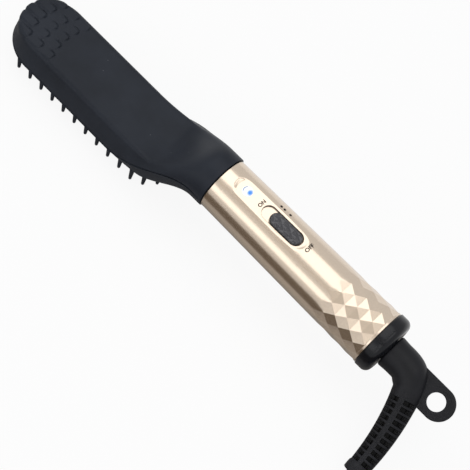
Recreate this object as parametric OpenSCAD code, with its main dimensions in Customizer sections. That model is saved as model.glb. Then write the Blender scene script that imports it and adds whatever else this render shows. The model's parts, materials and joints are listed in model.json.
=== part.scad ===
// Electric hot comb: a round handle with a slide switch, a flat head with a heated comb
// between two rows of cool guard pins, and a swivelling cord guard with a hang tab.
// Millimetres. +X runs towards the cord, +Z is the back of the head (switch side).
// The teeth point down: z = 0 is the surface that the guard pins' tips touch.

/* [Handle] */
// Length of the two handle shells
handle_len = 112; // [100:0.5:140]
// Handle diameter at the head end
handle_d_front = 30.3; // [28:0.1:34]
// Handle diameter at the cord end
handle_d_rear = 33; // [32:0.1:38]
// Wall of the handle shells
handle_wall = 2; // [1.6:0.1:2.4]
// Height of the handle's axis above the tips of the guard pins
axis_height = 37.5; // [36:0.5:42]
// Gap at the seam between the head's collar and the handle
seam_gap = 0.5; // [0.3:0.1:1]
// Facets around the diamond grip
facet_count = 14; // [10:2:18]
// Step between the rings of facet corners along the handle
facet_step = 5.2; // [4.5:0.1:5.2]
// Bands of facets along the handle
facet_bands = 6; // [3:1:6]

/* [Head] */
// Length of the head from its tip to the seam
head_len = 143.2; // [135:0.1:160]
// Width of the head over the parting line
head_w = 42.8; // [40:0.1:48]
// Width of the flat top of the head
head_top_w = 33.8; // [28:0.1:36]
// Step from the handle out to the head's collar at the seam
collar_step = 0.75; // [0.5:0.05:1.5]
// Drop from the handle axis to the top of the head
top_drop = 10.2; // [8:0.1:12]
// Drop from the handle axis to the head's parting line
rim_drop = 24.9; // [23:0.1:25.2]
// Drop from the handle axis to the underside of the head
deck_drop = 26.4; // [26.2:0.1:28]
// Wall of the head shells
head_wall = 1.8; // [1.4:0.1:2]
// Length of the rounded nose
nose_len = 21.2; // [18:0.1:26]
// How far the nose leans out from its top to its parting line
nose_lean = 2.2; // [0:0.1:4]
// Grip pads across the nose
pad_count = 6; // [4:1:8]
// Step between grip pads across the nose
pad_step = 6; // [4.5:0.1:6]

/* [Teeth] */
// Distance from the nose's tip to the frontmost tooth
tooth_margin = 14.8; // [13.5:0.1:20]
// Teeth in one straight row
tooth_count = 11; // [6:1:11]
// Distance between the two rows of guard pins
pin_row_w = 37.1; // [35:0.1:37.4]
// Distance from the seam to the rearmost guard pin of the straight rows
pin_row_back = 41.7; // [40:0.1:46]
// Guard pin diameter at its root
pin_root_d = 3; // [2.6:0.1:3.2]
// Guard pin diameter at its tip
pin_tip_d = 1.8; // [1.4:0.1:2.2]
// Thickness of a heated tooth at its root
blade_root = 3; // [2.4:0.1:3.4]
// Thickness of a heated tooth at its tip
blade_tip = 1.4; // [1:0.1:2]
// Width of a heated tooth across the head
blade_w = 23; // [18:0.5:24]
// How far the heated teeth end above the guard pins' tips
blade_short = 2; // [1:0.5:4]
// Thickness of the heated comb's back plate
comb_plate_t = 3; // [2.5:0.1:3.4]

/* [Heater] */
// Length of each ceramic heating stone
stone_len = 18; // [12:0.5:19]
// Width of each ceramic heating stone
stone_w = 11; // [8:0.5:12]
// Thickness of each ceramic heating stone
stone_t = 2; // [1.5:0.1:2.2]
// Thickness of the electrode strips
electrode_t = 0.4; // [0.3:0.1:0.5]
// Thickness of the insulating films
film_t = 0.3; // [0.2:0.1:0.4]
// Thickness of the steel clamp plate
clamp_t = 0.8; // [0.6:0.1:1]

/* [Switch] */
// Travel of the slide switch from OFF to ON
switch_travel = 5.2; // [4:0.1:5.6]
// Length of the slider knob
knob_len = 20.9; // [18:0.1:21]
// Width of the slider knob
knob_w = 8.1; // [7:0.1:8.4]
// Gap between the slider knob and its pocket
knob_gap = 0.25; // [0.2:0.05:0.4]
// Depth of the pocket that the knob slides in
pocket_depth = 1.2; // [0.8:0.1:1.4]
// Length of the sunken control panel
panel_len = 46.5; // [44:0.5:50]
// Width of the sunken control panel
panel_w = 11.1; // [10:0.1:12]
// Height of the panel's floor above the handle's axis
panel_height = 14.4; // [14.3:0.1:14.6]
// Diameter of the lamp lens
lens_d = 5.9; // [4:0.1:6.5]

/* [Circuit board] */
// Length of the circuit board
board_len = 59; // [56:0.5:60]
// Width of the circuit board
board_w = 21; // [18:0.5:22]
// Thickness of the circuit board
board_t = 1.6; // [1.2:0.1:1.6]

/* [Swivel and cord guard] */
// Length of the end cap behind the handle shells
cap_len = 8; // [7:0.5:12]
// Diameter of the end cap
cap_d = 34; // [33.5:0.1:39]
// Diameter of the swivel spindle
spindle_d = 13; // [11:0.1:13.5]
// Radial clearance of the spindle in the end cap
running_gap = 0.06; // [0.03:0.01:0.1]
// Diameter of the cord guard at the swivel
guard_d = 18; // [16:0.5:20]
// Diameter of the cord guard where its ribs start
relief_d_start = 13.8; // [12:0.1:15]
// Diameter of the cord guard at its end collar
relief_d_end = 12.4; // [10:0.1:13]
// Radius of the elbow's bend
elbow_r = 13.5; // [13:0.1:18]
// Width of the hang tab
tab_w = 17.9; // [16:0.1:20]
// Thickness of the hang tab
tab_t = 4; // [3:0.1:5]
// Diameter of the hang hole
hang_hole_d = 9.7; // [8:0.1:10.5]
// Distance from the seam to the hang hole's centre
hang_hole_x = 155; // [154:0.5:165]
// Ribs along the cord guard
rib_count = 11; // [8:1:12]

/* [Cord and plug] */
// Diameter of the cord
cord_d = 6; // [5:0.1:6]
// Step between neighbouring turns and layers of the coil
coil_step = 6.6; // [6.6:0.05:6.7]
// Turns of the coil, half of them in each of its two layers
coil_turns = 7; // [5:2:7]
// Diameter of the plug's pins
plug_pin_d = 4; // [4:0.1:4.8]
// Distance between the plug's pins
plug_pin_pitch = 18.6; // [18:0.1:19]
// Length of the plug's pins
plug_pin_len = 19; // [17:0.5:19]

/* [Hidden] */

black = [0.2, 0.2, 0.23];
gloss_black = [0.09, 0.09, 0.1];
gold = [0.86, 0.76, 0.66];
steel = [0.75, 0.76, 0.78];
brass = [0.85, 0.7, 0.4];
white = [0.93, 0.93, 0.9];

joint_gap = 0.05;
eps = 0.01;
collar_d = handle_d_front + 2 * collar_step;
fine = 64;

// Frame: x of the seam, so that the head and the spindle lie evenly about the origin
guard_gap = 0.4;
cap_gap = 0.3;
cap_start = handle_len + cap_gap;
cap_end = cap_start + cap_len;
spindle_end = cap_end + 7.7;
seam_x = (head_len + nose_lean - spindle_end) / 2;

function r_at(x) = (handle_d_front + (handle_d_rear - handle_d_front) * x / handle_len) / 2;
function smooth(t) = let (c = min(1, max(0, t))) c * c * (3 - 2 * c);
function mix(a, b, t) = a + (b - a) * t;

// Places geometry given about the handle's axis, x = 0 at the seam
module about_axis() {
    translate([seam_x, 0, axis_height]) children();
}

module stadium(len, w) {
    translate([-(len - w) / 2, 0]) circle(d = w, $fn = fine);
    translate([(len - w) / 2, 0]) circle(d = w, $fn = fine);
    square([len - w, w], center = true);
}

module rod(x0, x1, r, rb = undef) {
    translate([x0, 0, 0]) rotate([0, 90, 0])
        cylinder(h = x1 - x0, r1 = r, r2 = is_undef(rb) ? r : rb, $fn = fine);
}

// ---- Head shells: a loft from the round collar to the flat, wide head ----
neck_start = 6;
neck_top_len = 31;
neck_belly_len = 32;
neck_side_len = 36;
part_start = 9;
part_len = 51;
nose_start = head_len - nose_len;
half_steps = 10;
shoulder = 3.2;
nose_power = 2.1;

// Cross sections, each as [y, z] with t from 0 at the parting line to 1 on the centre line,
// k is the inset from the outer skin
function collar_pt(t, side, k) = let (r = collar_d / 2 - k)
    [r * cos(90 * t), side * r * sin(90 * t)];
function flank_pt(t, k) =
    let (rim = [head_w / 2 - k, -rim_drop], corner = [head_top_w / 2 - k, -top_drop - k],
        down = (rim - corner) / norm(rim - corner), a = corner + down * shoulder,
        b = [corner[0] - shoulder, corner[1] - 0.15])
    t < 0.4 ? mix(rim, a, t / 0.4)
    : t < 0.62 ? let (s = (t - 0.4) / 0.22)
        (1 - s) * (1 - s) * a + 2 * s * (1 - s) * corner + s * s * b
    : let (s = (t - 0.62) / 0.38)
        [b[0] * (1 - s), mix(b[1], -top_drop - k, sin(90 * s))];
function deck_pt(t, k) =
    let (rim = [head_w / 2 - k, -rim_drop], corner = [head_w / 2 - 0.9 - k, -deck_drop + k])
    t < 0.35 ? mix(rim, corner, t / 0.35) : [corner[0] * (1 - (t - 0.35) / 0.65), corner[1]];

// One point of a shell's skin at station x; j counts from the near parting line to the far one
function skin_pt(x, j, side, k) =
    let (t = 1 - abs(j - half_steps) / half_steps, y_sign = j < half_steps ? -1 : 1,
        a = collar_pt(t, side, k), b = side > 0 ? flank_pt(t, k) : deck_pt(t, k),
        s_part = smooth((-x - part_start) / part_len),
        s_mid = smooth((-x - neck_start) / (side > 0 ? neck_top_len : neck_belly_len)),
        s_side = smooth((-x - neck_start) / neck_side_len),
        bend = sin(90 * t), z = mix(a[1], b[1], mix(s_part, s_mid, bend)),
        y = mix(a[0], b[0], mix(s_side, s_mid, bend)),
        n = min(1, max(0, (-x - nose_start) / (nose_len - k))),
        taper = n >= 0.9999 ? 0 : pow(1 - pow(n, nose_power), 1 / nose_power),
        rise = side > 0 ? (z + rim_drop) / (rim_drop - top_drop) : 0,
        z_nose = side > 0 ? z - (z + rim_drop) * 0.12 * pow(n, 8) : z)
    [x - nose_lean * n * n * (1 - rise), y_sign * y * taper, z_nose];

neck_steps = 14;
nose_steps = 6;
function stations(k) = concat(
    [for (i = [0 : nose_steps - 1]) -nose_start - (nose_len - k) * cos(90 * i / nose_steps)],
    [for (i = [0 : 2]) -mix(nose_start, neck_side_len + 24, i / 3)],
    [for (i = [0 : neck_steps]) -mix(neck_side_len + 24, seam_gap / 2, i / neck_steps)]);

// A closed shell: outer skin, inner skin, parting edges and the open collar's rim.
// Both ends of a tip ring are one point, so the nose closes.
module shell(side, wall) {
    outer = stations(0);
    inner = stations(wall);
    last = len(outer) - 1;
    across = 2 * half_steps;
    row = across + 1;
    skin = len(outer) * row;
    function id(layer, i, j) = layer * skin + i * row + (i == 0 ? min(j, across - j) : j);
    function quad(a, b, c, d) = side > 0 ? [[a, b, c], [a, c, d]] : [[a, c, b], [a, d, c]];
    points = concat(
        [for (x = outer) for (j = [0 : across]) skin_pt(x, j, side, 0)],
        [for (x = inner) for (j = [0 : across]) skin_pt(x, j, side, wall)]);
    faces = concat(
        [for (i = [0 : last - 1]) for (j = [0 : across - 1])
            each quad(id(0, i, j), id(0, i, j + 1), id(0, i + 1, j + 1), id(0, i + 1, j))],
        [for (i = [0 : last - 1]) for (j = [0 : across - 1])
            each quad(id(1, i, j), id(1, i + 1, j), id(1, i + 1, j + 1), id(1, i, j + 1))],
        [for (i = [0 : last - 1])
            each quad(id(0, i, 0), id(0, i + 1, 0), id(1, i + 1, 0), id(1, i, 0))],
        [for (i = [0 : last - 1])
            each quad(id(0, i, across), id(1, i, across), id(1, i + 1, across),
                id(0, i + 1, across))],
        [for (j = [0 : across - 1])
            each quad(id(0, last, j), id(0, last, j + 1), id(1, last, j + 1), id(1, last, j))]);
    polyhedron(points = points, faces = faces, convexity = 6);
}

// Head screws: [x, y, height of the boss's top, height of the screw head's seat]
nose_screw_x = -head_len + 6.7;
nose_screw_y = 8;
neck_screw_x = -pin_row_back + 11.7;
boss_top = -deck_drop + 3.8;
boss_t = 2;
neck_boss_rise = 3;
head_screw_spots = [
    for (y = [nose_screw_y, -nose_screw_y]) [nose_screw_x, y, boss_top, boss_top - boss_t],
    [neck_screw_x, 0, boss_top + neck_boss_rise, boss_top + neck_boss_rise - boss_t]];
head_screw_r = 1;
head_pillar_r = 2.6;
head_boss_r = 3.2;
head_recess_r = 2.4;
function under_top(x) = skin_pt(x, half_steps, 1, head_wall)[2];

// Grip pads: rows of rounded pads across the nose, the front row running over its edge
pad_rise = 0.45;
pad_gap = 0.7;
pad_depth = 3;
pad_rows = [[-head_len + 15.3, 6], [-head_len + 24.6, 5.4]];
front_pads_x = -head_len + 12.5;
front_overhang = 0.5;
function nose_edge(y) =
    -nose_start - nose_len * pow(1 - pow(min(1, abs(y) / (head_top_w / 2)), nose_power),
        1 / nose_power);

module pad(x0, x1, y) {
    translate([(x0 + x1) / 2, y, -top_drop - pad_depth])
        linear_extrude(pad_depth + pad_rise) stadium(x1 - x0, pad_step - pad_gap);
}

module grip_pads() {
    for (n = [0 : pad_count - 1]) {
        y = (n - (pad_count - 1) / 2) * pad_step;
        for (p = pad_rows) pad(p[0], p[0] + p[1], y);
        if (front_pads_x - nose_edge(y) > 4) pad(nose_edge(y) - front_overhang, front_pads_x, y);
    }
}

module head_cover() {
    color(black) about_axis() {
        difference() {
            union() {
                shell(1, head_wall);
                grip_pads();
                for (s = head_screw_spots)
                    translate([s[0], s[1], s[2]])
                        cylinder(h = under_top(s[0] - head_pillar_r) + head_wall / 2 - s[2],
                            r = head_pillar_r, $fn = 32);
            }
            for (s = head_screw_spots)
                translate([s[0], s[1], s[2] - 1])
                    cylinder(h = 9, r = head_screw_r + joint_gap, $fn = 24);
        }
    }
}

// ---- Teeth ----
deck_top = -deck_drop + head_wall;
pin_seat_low = -deck_drop + 0.7;
pin_flange_r = 1.7;
pin_flange_t = 0.8;
pin_shank_r = 1.2;
tooth_step = (head_len - tooth_margin - pin_row_back) / (tooth_count - 1);
tooth_x = [for (n = [0 : tooth_count - 1]) -pin_row_back - n * tooth_step];
// Guard pins: [x, y, height of the seat under the pin's flange]
pin_spots = concat(
    [for (x = tooth_x) [x, pin_row_w / 2, pin_seat_low]],
    [[-pin_row_back + 6.7, pin_row_w / 2 - 2.95, pin_seat_low + 0.5],
        [-pin_row_back + 11.6, pin_row_w / 2 - 9.05, pin_seat_low + 2.1]]);

module guard_pin(seat) {
    translate([0, 0, seat]) cylinder(h = pin_flange_t, r = pin_flange_r, $fn = 24);
    translate([0, 0, -deck_drop + 0.2])
        cylinder(h = seat + deck_drop - 0.2, r = pin_shank_r, $fn = 24);
    root = -deck_drop + 0.2;
    tip = -axis_height + pin_tip_d / 2;
    translate([0, 0, tip])
        cylinder(h = root - tip, r1 = pin_tip_d / 2, r2 = pin_root_d / 2 - 0.05, $fn = 24);
    translate([0, 0, tip]) sphere(d = pin_tip_d, $fn = 24);
}

module guard_pins() {
    color(black) about_axis()
        for (p = pin_spots) for (s = [-1, 1])
            translate([p[0], s * p[1], 0]) guard_pin(p[2]);
}

window_x0 = tooth_x[tooth_count - 1] - 3.1;
window_x1 = tooth_x[0] + 3.1;
window_w = blade_w + 2;
tongue = 5;
tongue_w = 8;

module head_base() {
    color(black) about_axis() {
        difference() {
            union() {
                shell(-1, head_wall);
                for (s = head_screw_spots)
                    translate([s[0], s[1], s[3] - 1]) cylinder(h = s[2] - s[3] + 1,
                        r = s[1] == 0 ? head_boss_r : head_pillar_r + 0.4, $fn = 32);
            }
            for (s = head_screw_spots) {
                translate([s[0], s[1], s[3] - 8]) cylinder(h = 8, r = head_recess_r, $fn = 24);
                translate([s[0], s[1], s[3] - 1]) cylinder(h = 6, r = head_screw_r + 0.3, $fn = 24);
            }
            translate([window_x0, -window_w / 2, -deck_drop - 1])
                cube([window_x1 - window_x0, window_w, 3]);
            comb_plate(joint_gap);
            for (p = pin_spots) for (s = [-1, 1]) translate([p[0], s * p[1], 0]) {
                translate([0, 0, -deck_drop - 3])
                    cylinder(h = 6, r = pin_shank_r + joint_gap, $fn = 24);
                translate([0, 0, -deck_drop - 3])
                    cylinder(h = 3.25, r = pin_root_d / 2, $fn = 24);
                translate([0, 0, p[2]])
                    cylinder(h = 2, r = pin_flange_r + joint_gap, $fn = 24);
            }
            for (x = comb_screw_x) translate([x, 0, -deck_drop + 0.5])
                cylinder(h = 3, r = comb_screw_r + joint_gap, $fn = 24);
        }
    }
}

// ---- Heated comb and heater, a stack on the comb's back plate ----
comb_top = deck_top + comb_plate_t;
plate_lap = 1.2;
plate_side_lap = 2.5;

// The comb's back plate with a screw tongue at each end; gap widens it into its seat
module comb_plate(gap) {
    translate([window_x0 - plate_lap - gap, -blade_w / 2 - plate_side_lap - gap, deck_top])
        cube([window_x1 - window_x0 + 2 * (plate_lap + gap), blade_w + 2 * (plate_side_lap + gap),
            comb_plate_t]);
    translate([window_x0 - tongue - gap, -tongue_w / 2 - gap, deck_top])
        cube([window_x1 - window_x0 + 2 * (tongue + gap), tongue_w + 2 * gap, comb_plate_t]);
}
comb_screw_x = [window_x0 - tongue / 2, window_x1 + tongue / 2];
comb_screw_r = 1;

module heat_comb() {
    blade_h = axis_height - blade_short + deck_top;
    color(steel) about_axis() {
        difference() {
            union() {
                comb_plate(0);
                for (x = tooth_x)
                    translate([x, blade_w / 2, deck_top]) rotate([90, 0, 0])
                        linear_extrude(blade_w) polygon([
                            [-blade_root / 2, 0], [-blade_root / 2, -1.8],
                            [-blade_tip / 2, -blade_h + 0.5], [-blade_tip / 2 + 0.4, -blade_h],
                            [blade_tip / 2 - 0.4, -blade_h], [blade_tip / 2, -blade_h + 0.5],
                            [blade_root / 2, -1.8], [blade_root / 2, 0]]);
            }
            for (x = comb_screw_x) translate([x, 0, deck_top - 1])
                cylinder(h = comb_plate_t + 2, r = comb_screw_r + 0.2, $fn = 24);
            for (x = clamp_screw_x) translate([x, 0, comb_top - 2.2])
                cylinder(h = 3, r = comb_screw_r + joint_gap, $fn = 24);
        }
    }
}

stone_gap = 1;
stone_count = 3;
heater_mid = (window_x0 + window_x1) / 2;
heater_len = stone_count * stone_len + (stone_count - 1) * stone_gap;
film_low = comb_top;
electrode_low = film_low + film_t;
stones_low = electrode_low + electrode_t;
electrode_high = stones_low + stone_t;
film_high = electrode_high + electrode_t;
clamp_low = film_high + film_t;
clamp_screw_x = [heater_mid - heater_len / 2 - 7, heater_mid + heater_len / 2 + 7];

module strip(z, len, w, t) {
    about_axis() translate([heater_mid - len / 2, -w / 2, z]) cube([len, w, t]);
}

module lower_film() {
    color([0.85, 0.55, 0.2]) strip(film_low, heater_len + 4, stone_w + 3, film_t);
}

module lower_electrode() {
    color(brass) union() {
        strip(electrode_low, heater_len + 1, stone_w, electrode_t);
        about_axis() translate([heater_mid + heater_len / 2, -stone_w / 2, electrode_low])
            cube([4, 2.4, electrode_t]);
    }
}

module heating_stones() {
    color([0.45, 0.4, 0.38]) about_axis()
        for (n = [0 : stone_count - 1])
            translate([heater_mid - heater_len / 2 + n * (stone_len + stone_gap), -stone_w / 2,
                stones_low]) cube([stone_len, stone_w, stone_t]);
}

module upper_electrode() {
    color(brass) union() {
        strip(electrode_high, heater_len + 1, stone_w, electrode_t);
        about_axis() translate([heater_mid + heater_len / 2, stone_w / 2 - 2.4, electrode_high])
            cube([4, 2.4, electrode_t]);
    }
}

module upper_film() {
    color([0.85, 0.55, 0.2]) strip(film_high, heater_len + 0.6, stone_w + 3, film_t);
}

module heater_clamp() {
    leg_x = [clamp_screw_x[0] + 3.2, clamp_screw_x[1] - 3.2 - clamp_t];
    color(steel) about_axis() {
        translate([leg_x[0], -stone_w / 2, clamp_low])
            cube([leg_x[1] - leg_x[0] + clamp_t, stone_w, clamp_t]);
        for (x = leg_x) translate([x, -2.8, comb_top])
            cube([clamp_t, 5.6, clamp_low - comb_top + eps]);
        for (n = [0, 1]) difference() {
            translate([n == 0 ? clamp_screw_x[0] - 3 : leg_x[1], -2.8, comb_top])
                cube([6.2 + clamp_t, 5.6, clamp_t]);
            translate([clamp_screw_x[n], 0, comb_top - 1])
                cylinder(h = 3, r = comb_screw_r + 0.2, $fn = 24);
        }
    }
}

module screw(seat, head_r, head_h, shank_r, len) {
    translate([0, 0, seat]) difference() {
        cylinder(h = head_h, r = head_r, $fn = 24);
        translate([0, 0, head_h - 0.6]) rotate([0, 0, 45])
            cube([head_r * 1.3, 0.5, 2], center = true);
        translate([0, 0, head_h - 0.6]) rotate([0, 0, -45])
            cube([head_r * 1.3, 0.5, 2], center = true);
    }
    translate([0, 0, seat - len]) cylinder(h = len + eps, r = shank_r, $fn = 24);
}

module clamp_screws() {
    color(steel) about_axis() for (x = clamp_screw_x) translate([x, 0, 0])
        screw(comb_top + clamp_t, 1.9, 1.2, comb_screw_r, clamp_t + 2);
}

module comb_screws() {
    color(steel) about_axis() for (x = comb_screw_x) translate([x, 0, 0])
        screw(comb_top, 1.9, 1.2, comb_screw_r, comb_plate_t + 1.1);
}

fuse_r = 1.9;
sensor_r = 1.1;

module thermal_fuse() {
    color(white) about_axis() translate([heater_mid, 0, clamp_low + clamp_t + fuse_r])
        rod(-5.5, 5.5, fuse_r);
}

module thermistor() {
    color([0.2, 0.4, 0.3]) about_axis()
        translate([clamp_screw_x[1] + 1, -7.5, comb_top + sensor_r]) rod(-2.5, 2.5, sensor_r);
}

module head_screws() {
    color(steel) about_axis() for (s = head_screw_spots)
        translate([s[0], s[1], 0]) mirror([0, 0, 1])
            screw(-s[3], head_recess_r - 0.3, 1.4, head_screw_r, 8);
}

// ---- Neck sleeve: joins the head shells to the handle shells ----
sleeve_r = handle_d_front / 2 - handle_wall - 0.25;
sleeve_wall = 2;
sleeve_in = 9;
rib_x = 5.2;
rib_t = 1.2;

module neck_sleeve() {
    flange_r = collar_d / 2 - head_wall - 0.35;
    color(black) about_axis() difference() {
        union() {
            rod(-6, sleeve_in, sleeve_r);
            rod(-6, -4.5, flange_r);
        }
        rod(-7, sleeve_in + 1, sleeve_r - sleeve_wall);
        difference() {
            rod(rib_x - 0.1, rib_x + rib_t + 0.1, sleeve_r + 1);
            rod(rib_x - 0.2, rib_x + rib_t + 0.2, sleeve_r - 1);
        }
    }
}

// ---- Handle ----
facet_x0 = handle_len - 1.3 - facet_step * facet_bands;
cap_bore_x = handle_len - 7;
cap_spigot_r = handle_d_rear / 2 - handle_wall - 0.4;

// Corner n of facet ring c: rings alternate by half a facet
function facet_corner(c, n) =
    let (x = facet_x0 + c * facet_step, a = (2 * n + c % 2) * 180 / facet_count)
    [x, r_at(x) * sin(a), r_at(x) * cos(a)];

module diamond_grip() {
    rings = facet_bands + 1;
    function id(c, n) = c * facet_count + (n + facet_count) % facet_count;
    polyhedron(
        points = [for (c = [0 : facet_bands]) for (n = [0 : facet_count - 1]) facet_corner(c, n)],
        faces = concat(
            [[for (n = [0 : facet_count - 1]) id(0, facet_count - 1 - n)]],
            [[for (n = [0 : facet_count - 1]) id(facet_bands, n)]],
            [for (c = [0 : rings - 2]) for (n = [0 : facet_count - 1]) let (s = c % 2)
                each [[id(c, n), id(c, n + 1), id(c + 1, n + s)],
                    [id(c, n + 1), id(c + 1, n + 1 + s), id(c + 1, n + s)]]]));
}

module handle_outside() {
    rod(seam_gap / 2, facet_x0, r_at(seam_gap / 2), r_at(facet_x0));
    diamond_grip();
    rod(handle_len - 1.3, handle_len, r_at(handle_len - 1.3), r_at(handle_len));
}

module handle_inside() {
    difference() {
        union() {
            rod(-1, cap_bore_x + eps, r_at(-1) - handle_wall, r_at(cap_bore_x) - handle_wall - 0.4);
            rod(cap_bore_x, handle_len + 1, cap_spigot_r + 0.1);
        }
        difference() {
            rod(rib_x, rib_x + rib_t, sleeve_r + 3);
            rod(rib_x - 1, rib_x + rib_t + 1, sleeve_r - 0.8);
        }
    }
}

// One handle shell: side 1 is the top, -1 the bottom
module handle_half(side) {
    difference() {
        handle_outside();
        handle_inside();
        translate([-2, -30, side > 0 ? -30 : 0]) cube([handle_len + 4, 60, 30]);
    }
}

board_x0 = 10.5;
board_low = 1.6;
// Handle screws: [x, y, seat of the screw's head]
front_pillar = [board_x0 + 2.5, 10];
rear_pillar_x = board_x0 + board_len + 4.5;
handle_screw_spots = [[front_pillar[0], front_pillar[1], -7],
    [front_pillar[0], -front_pillar[1], -7], [rear_pillar_x, 0, -9]];
handle_screw_r = 1.2;
handle_head_r = 2.3;
handle_pillar_r = 2.4;
handle_boss_r = 3.2;

// Ends of the knob at OFF and of the panel, from the seam
knob_end_x = 52.85;
panel_start = 8.3;
knob_off_x = knob_end_x - knob_len / 2;
pocket_len = knob_len + switch_travel + 2 * knob_gap;
pocket_w = knob_w + 2 * knob_gap;
pocket_x = knob_off_x - switch_travel / 2;
pocket_floor = panel_height - pocket_depth;
pad_low = 12;
// The block that carries the panel's floor inside the top shell
block_x0 = panel_start + 0.7;
block_x1 = panel_start + panel_len + 1.2;
block_w = panel_w + 2.9;
panel_x = panel_start + panel_len / 2;
stem_len = 6;
stem_w = 3;
slot_len = stem_len + switch_travel + 2 * knob_gap;
lens_x = 14.9;
lens_flange_r = lens_d / 2 + 0.9;
dots_x = [31.8, 34.1, 38.1];
dot_y = 7.8;

module handle_top() {
    color(gold) about_axis() difference() {
        union() {
            handle_half(1);
            intersection() {
                rod(block_x0, block_x1, r_at(block_x0) - 0.6);
                translate([block_x0, -block_w / 2, pad_low])
                    cube([block_x1 - block_x0, block_w, 6]);
            }
            for (s = handle_screw_spots) intersection() {
                translate([s[0], s[1], 0]) cylinder(h = 20, r = handle_pillar_r, $fn = 32);
                rod(s[0] - 5, s[0] + 5, r_at(s[0]) - handle_wall / 2);
            }
        }
        for (s = handle_screw_spots) translate([s[0], s[1], -1])
            cylinder(h = 8, r = handle_screw_r + joint_gap, $fn = 24);
        translate([panel_x, 0, panel_height]) linear_extrude(5) stadium(panel_len, panel_w);
        translate([pocket_x, 0, pocket_floor]) linear_extrude(5) stadium(pocket_len, pocket_w);
        translate([pocket_x - slot_len / 2, -stem_w / 2 - knob_gap, pad_low - 1])
            cube([slot_len, stem_w + 2 * knob_gap, 5]);
        translate([lens_x, 0, pad_low - 1])
            cylinder(h = 5, r = lens_d / 2 + joint_gap, $fn = 48);
        for (x = dots_x) translate([x, 0, 0]) rotate([-asin(dot_y / r_at(x)), 0, 0])
            translate([0, 0, r_at(x) - 0.3]) cylinder(h = 1, r = 0.5, $fn = 16);
    }
}

// The board is narrow between the front pillars and wide behind them
board_step_x = handle_screw_spots[0][0] + handle_boss_r + 1.8;
board_neck_w = 2 * (handle_screw_spots[0][1] - handle_pillar_r - 0.6);
board_screw_x = [20.5, board_x0 + board_len - 3];
board_screw_r = 0.9;
board_boss_r = 2.6;

module handle_bottom() {
    color(gold) about_axis() difference() {
        union() {
            handle_half(-1);
            for (s = handle_screw_spots) intersection() {
                translate([s[0], s[1], -20])
                    cylinder(h = 20 - joint_gap, r = handle_boss_r, $fn = 32);
                rod(s[0] - 5, s[0] + 5, r_at(s[0]) - handle_wall / 2);
            }
            for (x = board_screw_x) intersection() {
                translate([x, 0, -20]) cylinder(h = 20 + board_low, r = board_boss_r, $fn = 32);
                rod(x - 5, x + 5, r_at(x) - handle_wall / 2);
            }
        }
        for (s = handle_screw_spots) {
            translate([s[0], s[1], -20])
                cylinder(h = 20 + s[2], r = handle_head_r + 0.3, $fn = 32);
            translate([s[0], s[1], s[2] - 1]) cylinder(h = 12, r = handle_screw_r + 0.3, $fn = 24);
        }
        for (x = board_screw_x) translate([x, 0, -5])
            cylinder(h = 8, r = board_screw_r + joint_gap, $fn = 24);
    }
}

module handle_screws() {
    color(steel) about_axis() for (s = handle_screw_spots)
        translate([s[0], s[1], 0]) mirror([0, 0, 1])
            screw(-s[2], handle_head_r, 1.6, handle_screw_r, 6 - s[2]);
}

// ---- Slide switch ----
stem_low = 7.1;
retainer_t = 0.9;
knob_crest = 16;

module slider_knob() {
    groove = 1.7;
    color(gloss_black) about_axis() difference() {
        union() {
            intersection() {
                translate([knob_off_x, 0, pocket_floor + 0.15])
                    linear_extrude(4) stadium(knob_len, knob_w);
                translate([knob_off_x - knob_len, 0, knob_crest - 9]) rotate([0, 90, 0])
                    cylinder(h = 2 * knob_len, r = 9, $fn = fine);
            }
            translate([knob_off_x - stem_len / 2, -stem_w / 2, stem_low])
                cube([stem_len, stem_w, pocket_floor + 0.5 - stem_low]);
        }
        for (s = [-1, 1]) for (n = [-9 : 9])
            translate([knob_off_x + n * groove * 1.3, 0, knob_crest]) rotate([0, 0, s * 50])
                rotate([45, 0, 0]) cube([40, 0.5, 0.5], center = true);
    }
}

module knob_retainer() {
    color(black) about_axis() difference() {
        translate([knob_off_x - 6, -3.6, pad_low - 0.2 - retainer_t]) cube([12, 7.2, retainer_t]);
        translate([knob_off_x - stem_len / 2 - 0.02, -stem_w / 2 - 0.02, pad_low - 3])
            cube([stem_len + 0.04, stem_w + 0.04, 4]);
    }
}

carriage_len = 7.4;
carriage_low = 5;
switch_top = 9.6;
board_high = board_low + board_t;

module switch_carriage() {
    color(white) about_axis() difference() {
        translate([knob_off_x - carriage_len / 2, -2.4, carriage_low])
            cube([carriage_len, 4.8, switch_top - 0.3 - carriage_low]);
        translate([knob_off_x - stem_len / 2 - 0.02, -stem_w / 2 - 0.02, stem_low - 0.05])
            cube([stem_len + 0.04, stem_w + 0.04, 4]);
    }
}

cavity_x0 = knob_off_x - carriage_len / 2 - switch_travel - 0.3;
cavity_x1 = knob_off_x + carriage_len / 2 + 0.3;
contact_x = [for (n = [0 : 2]) mix(cavity_x0 + 2, cavity_x1 - 2, n / 2)];
contact_r = 0.5;

module switch_body() {
    color(black) about_axis() difference() {
        translate([cavity_x0 - 1.6, -4.6, board_high])
            cube([cavity_x1 - cavity_x0 + 3.2, 9.2, switch_top - board_high]);
        translate([cavity_x0, -2.7, carriage_low - 0.2]) cube([cavity_x1 - cavity_x0, 5.4, 10]);
        for (x = contact_x) translate([x, 0, 0])
            cylinder(h = 10, r = contact_r + 0.02, $fn = 24);
    }
}

module switch_contacts() {
    color(brass) about_axis() for (x = contact_x) translate([x, 0, board_low - 1])
        cylinder(h = carriage_low - 0.2 - board_low + 0.9, r = contact_r, $fn = 24);
}

// ---- Electronics ----
lamp_r = 1.5;

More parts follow.
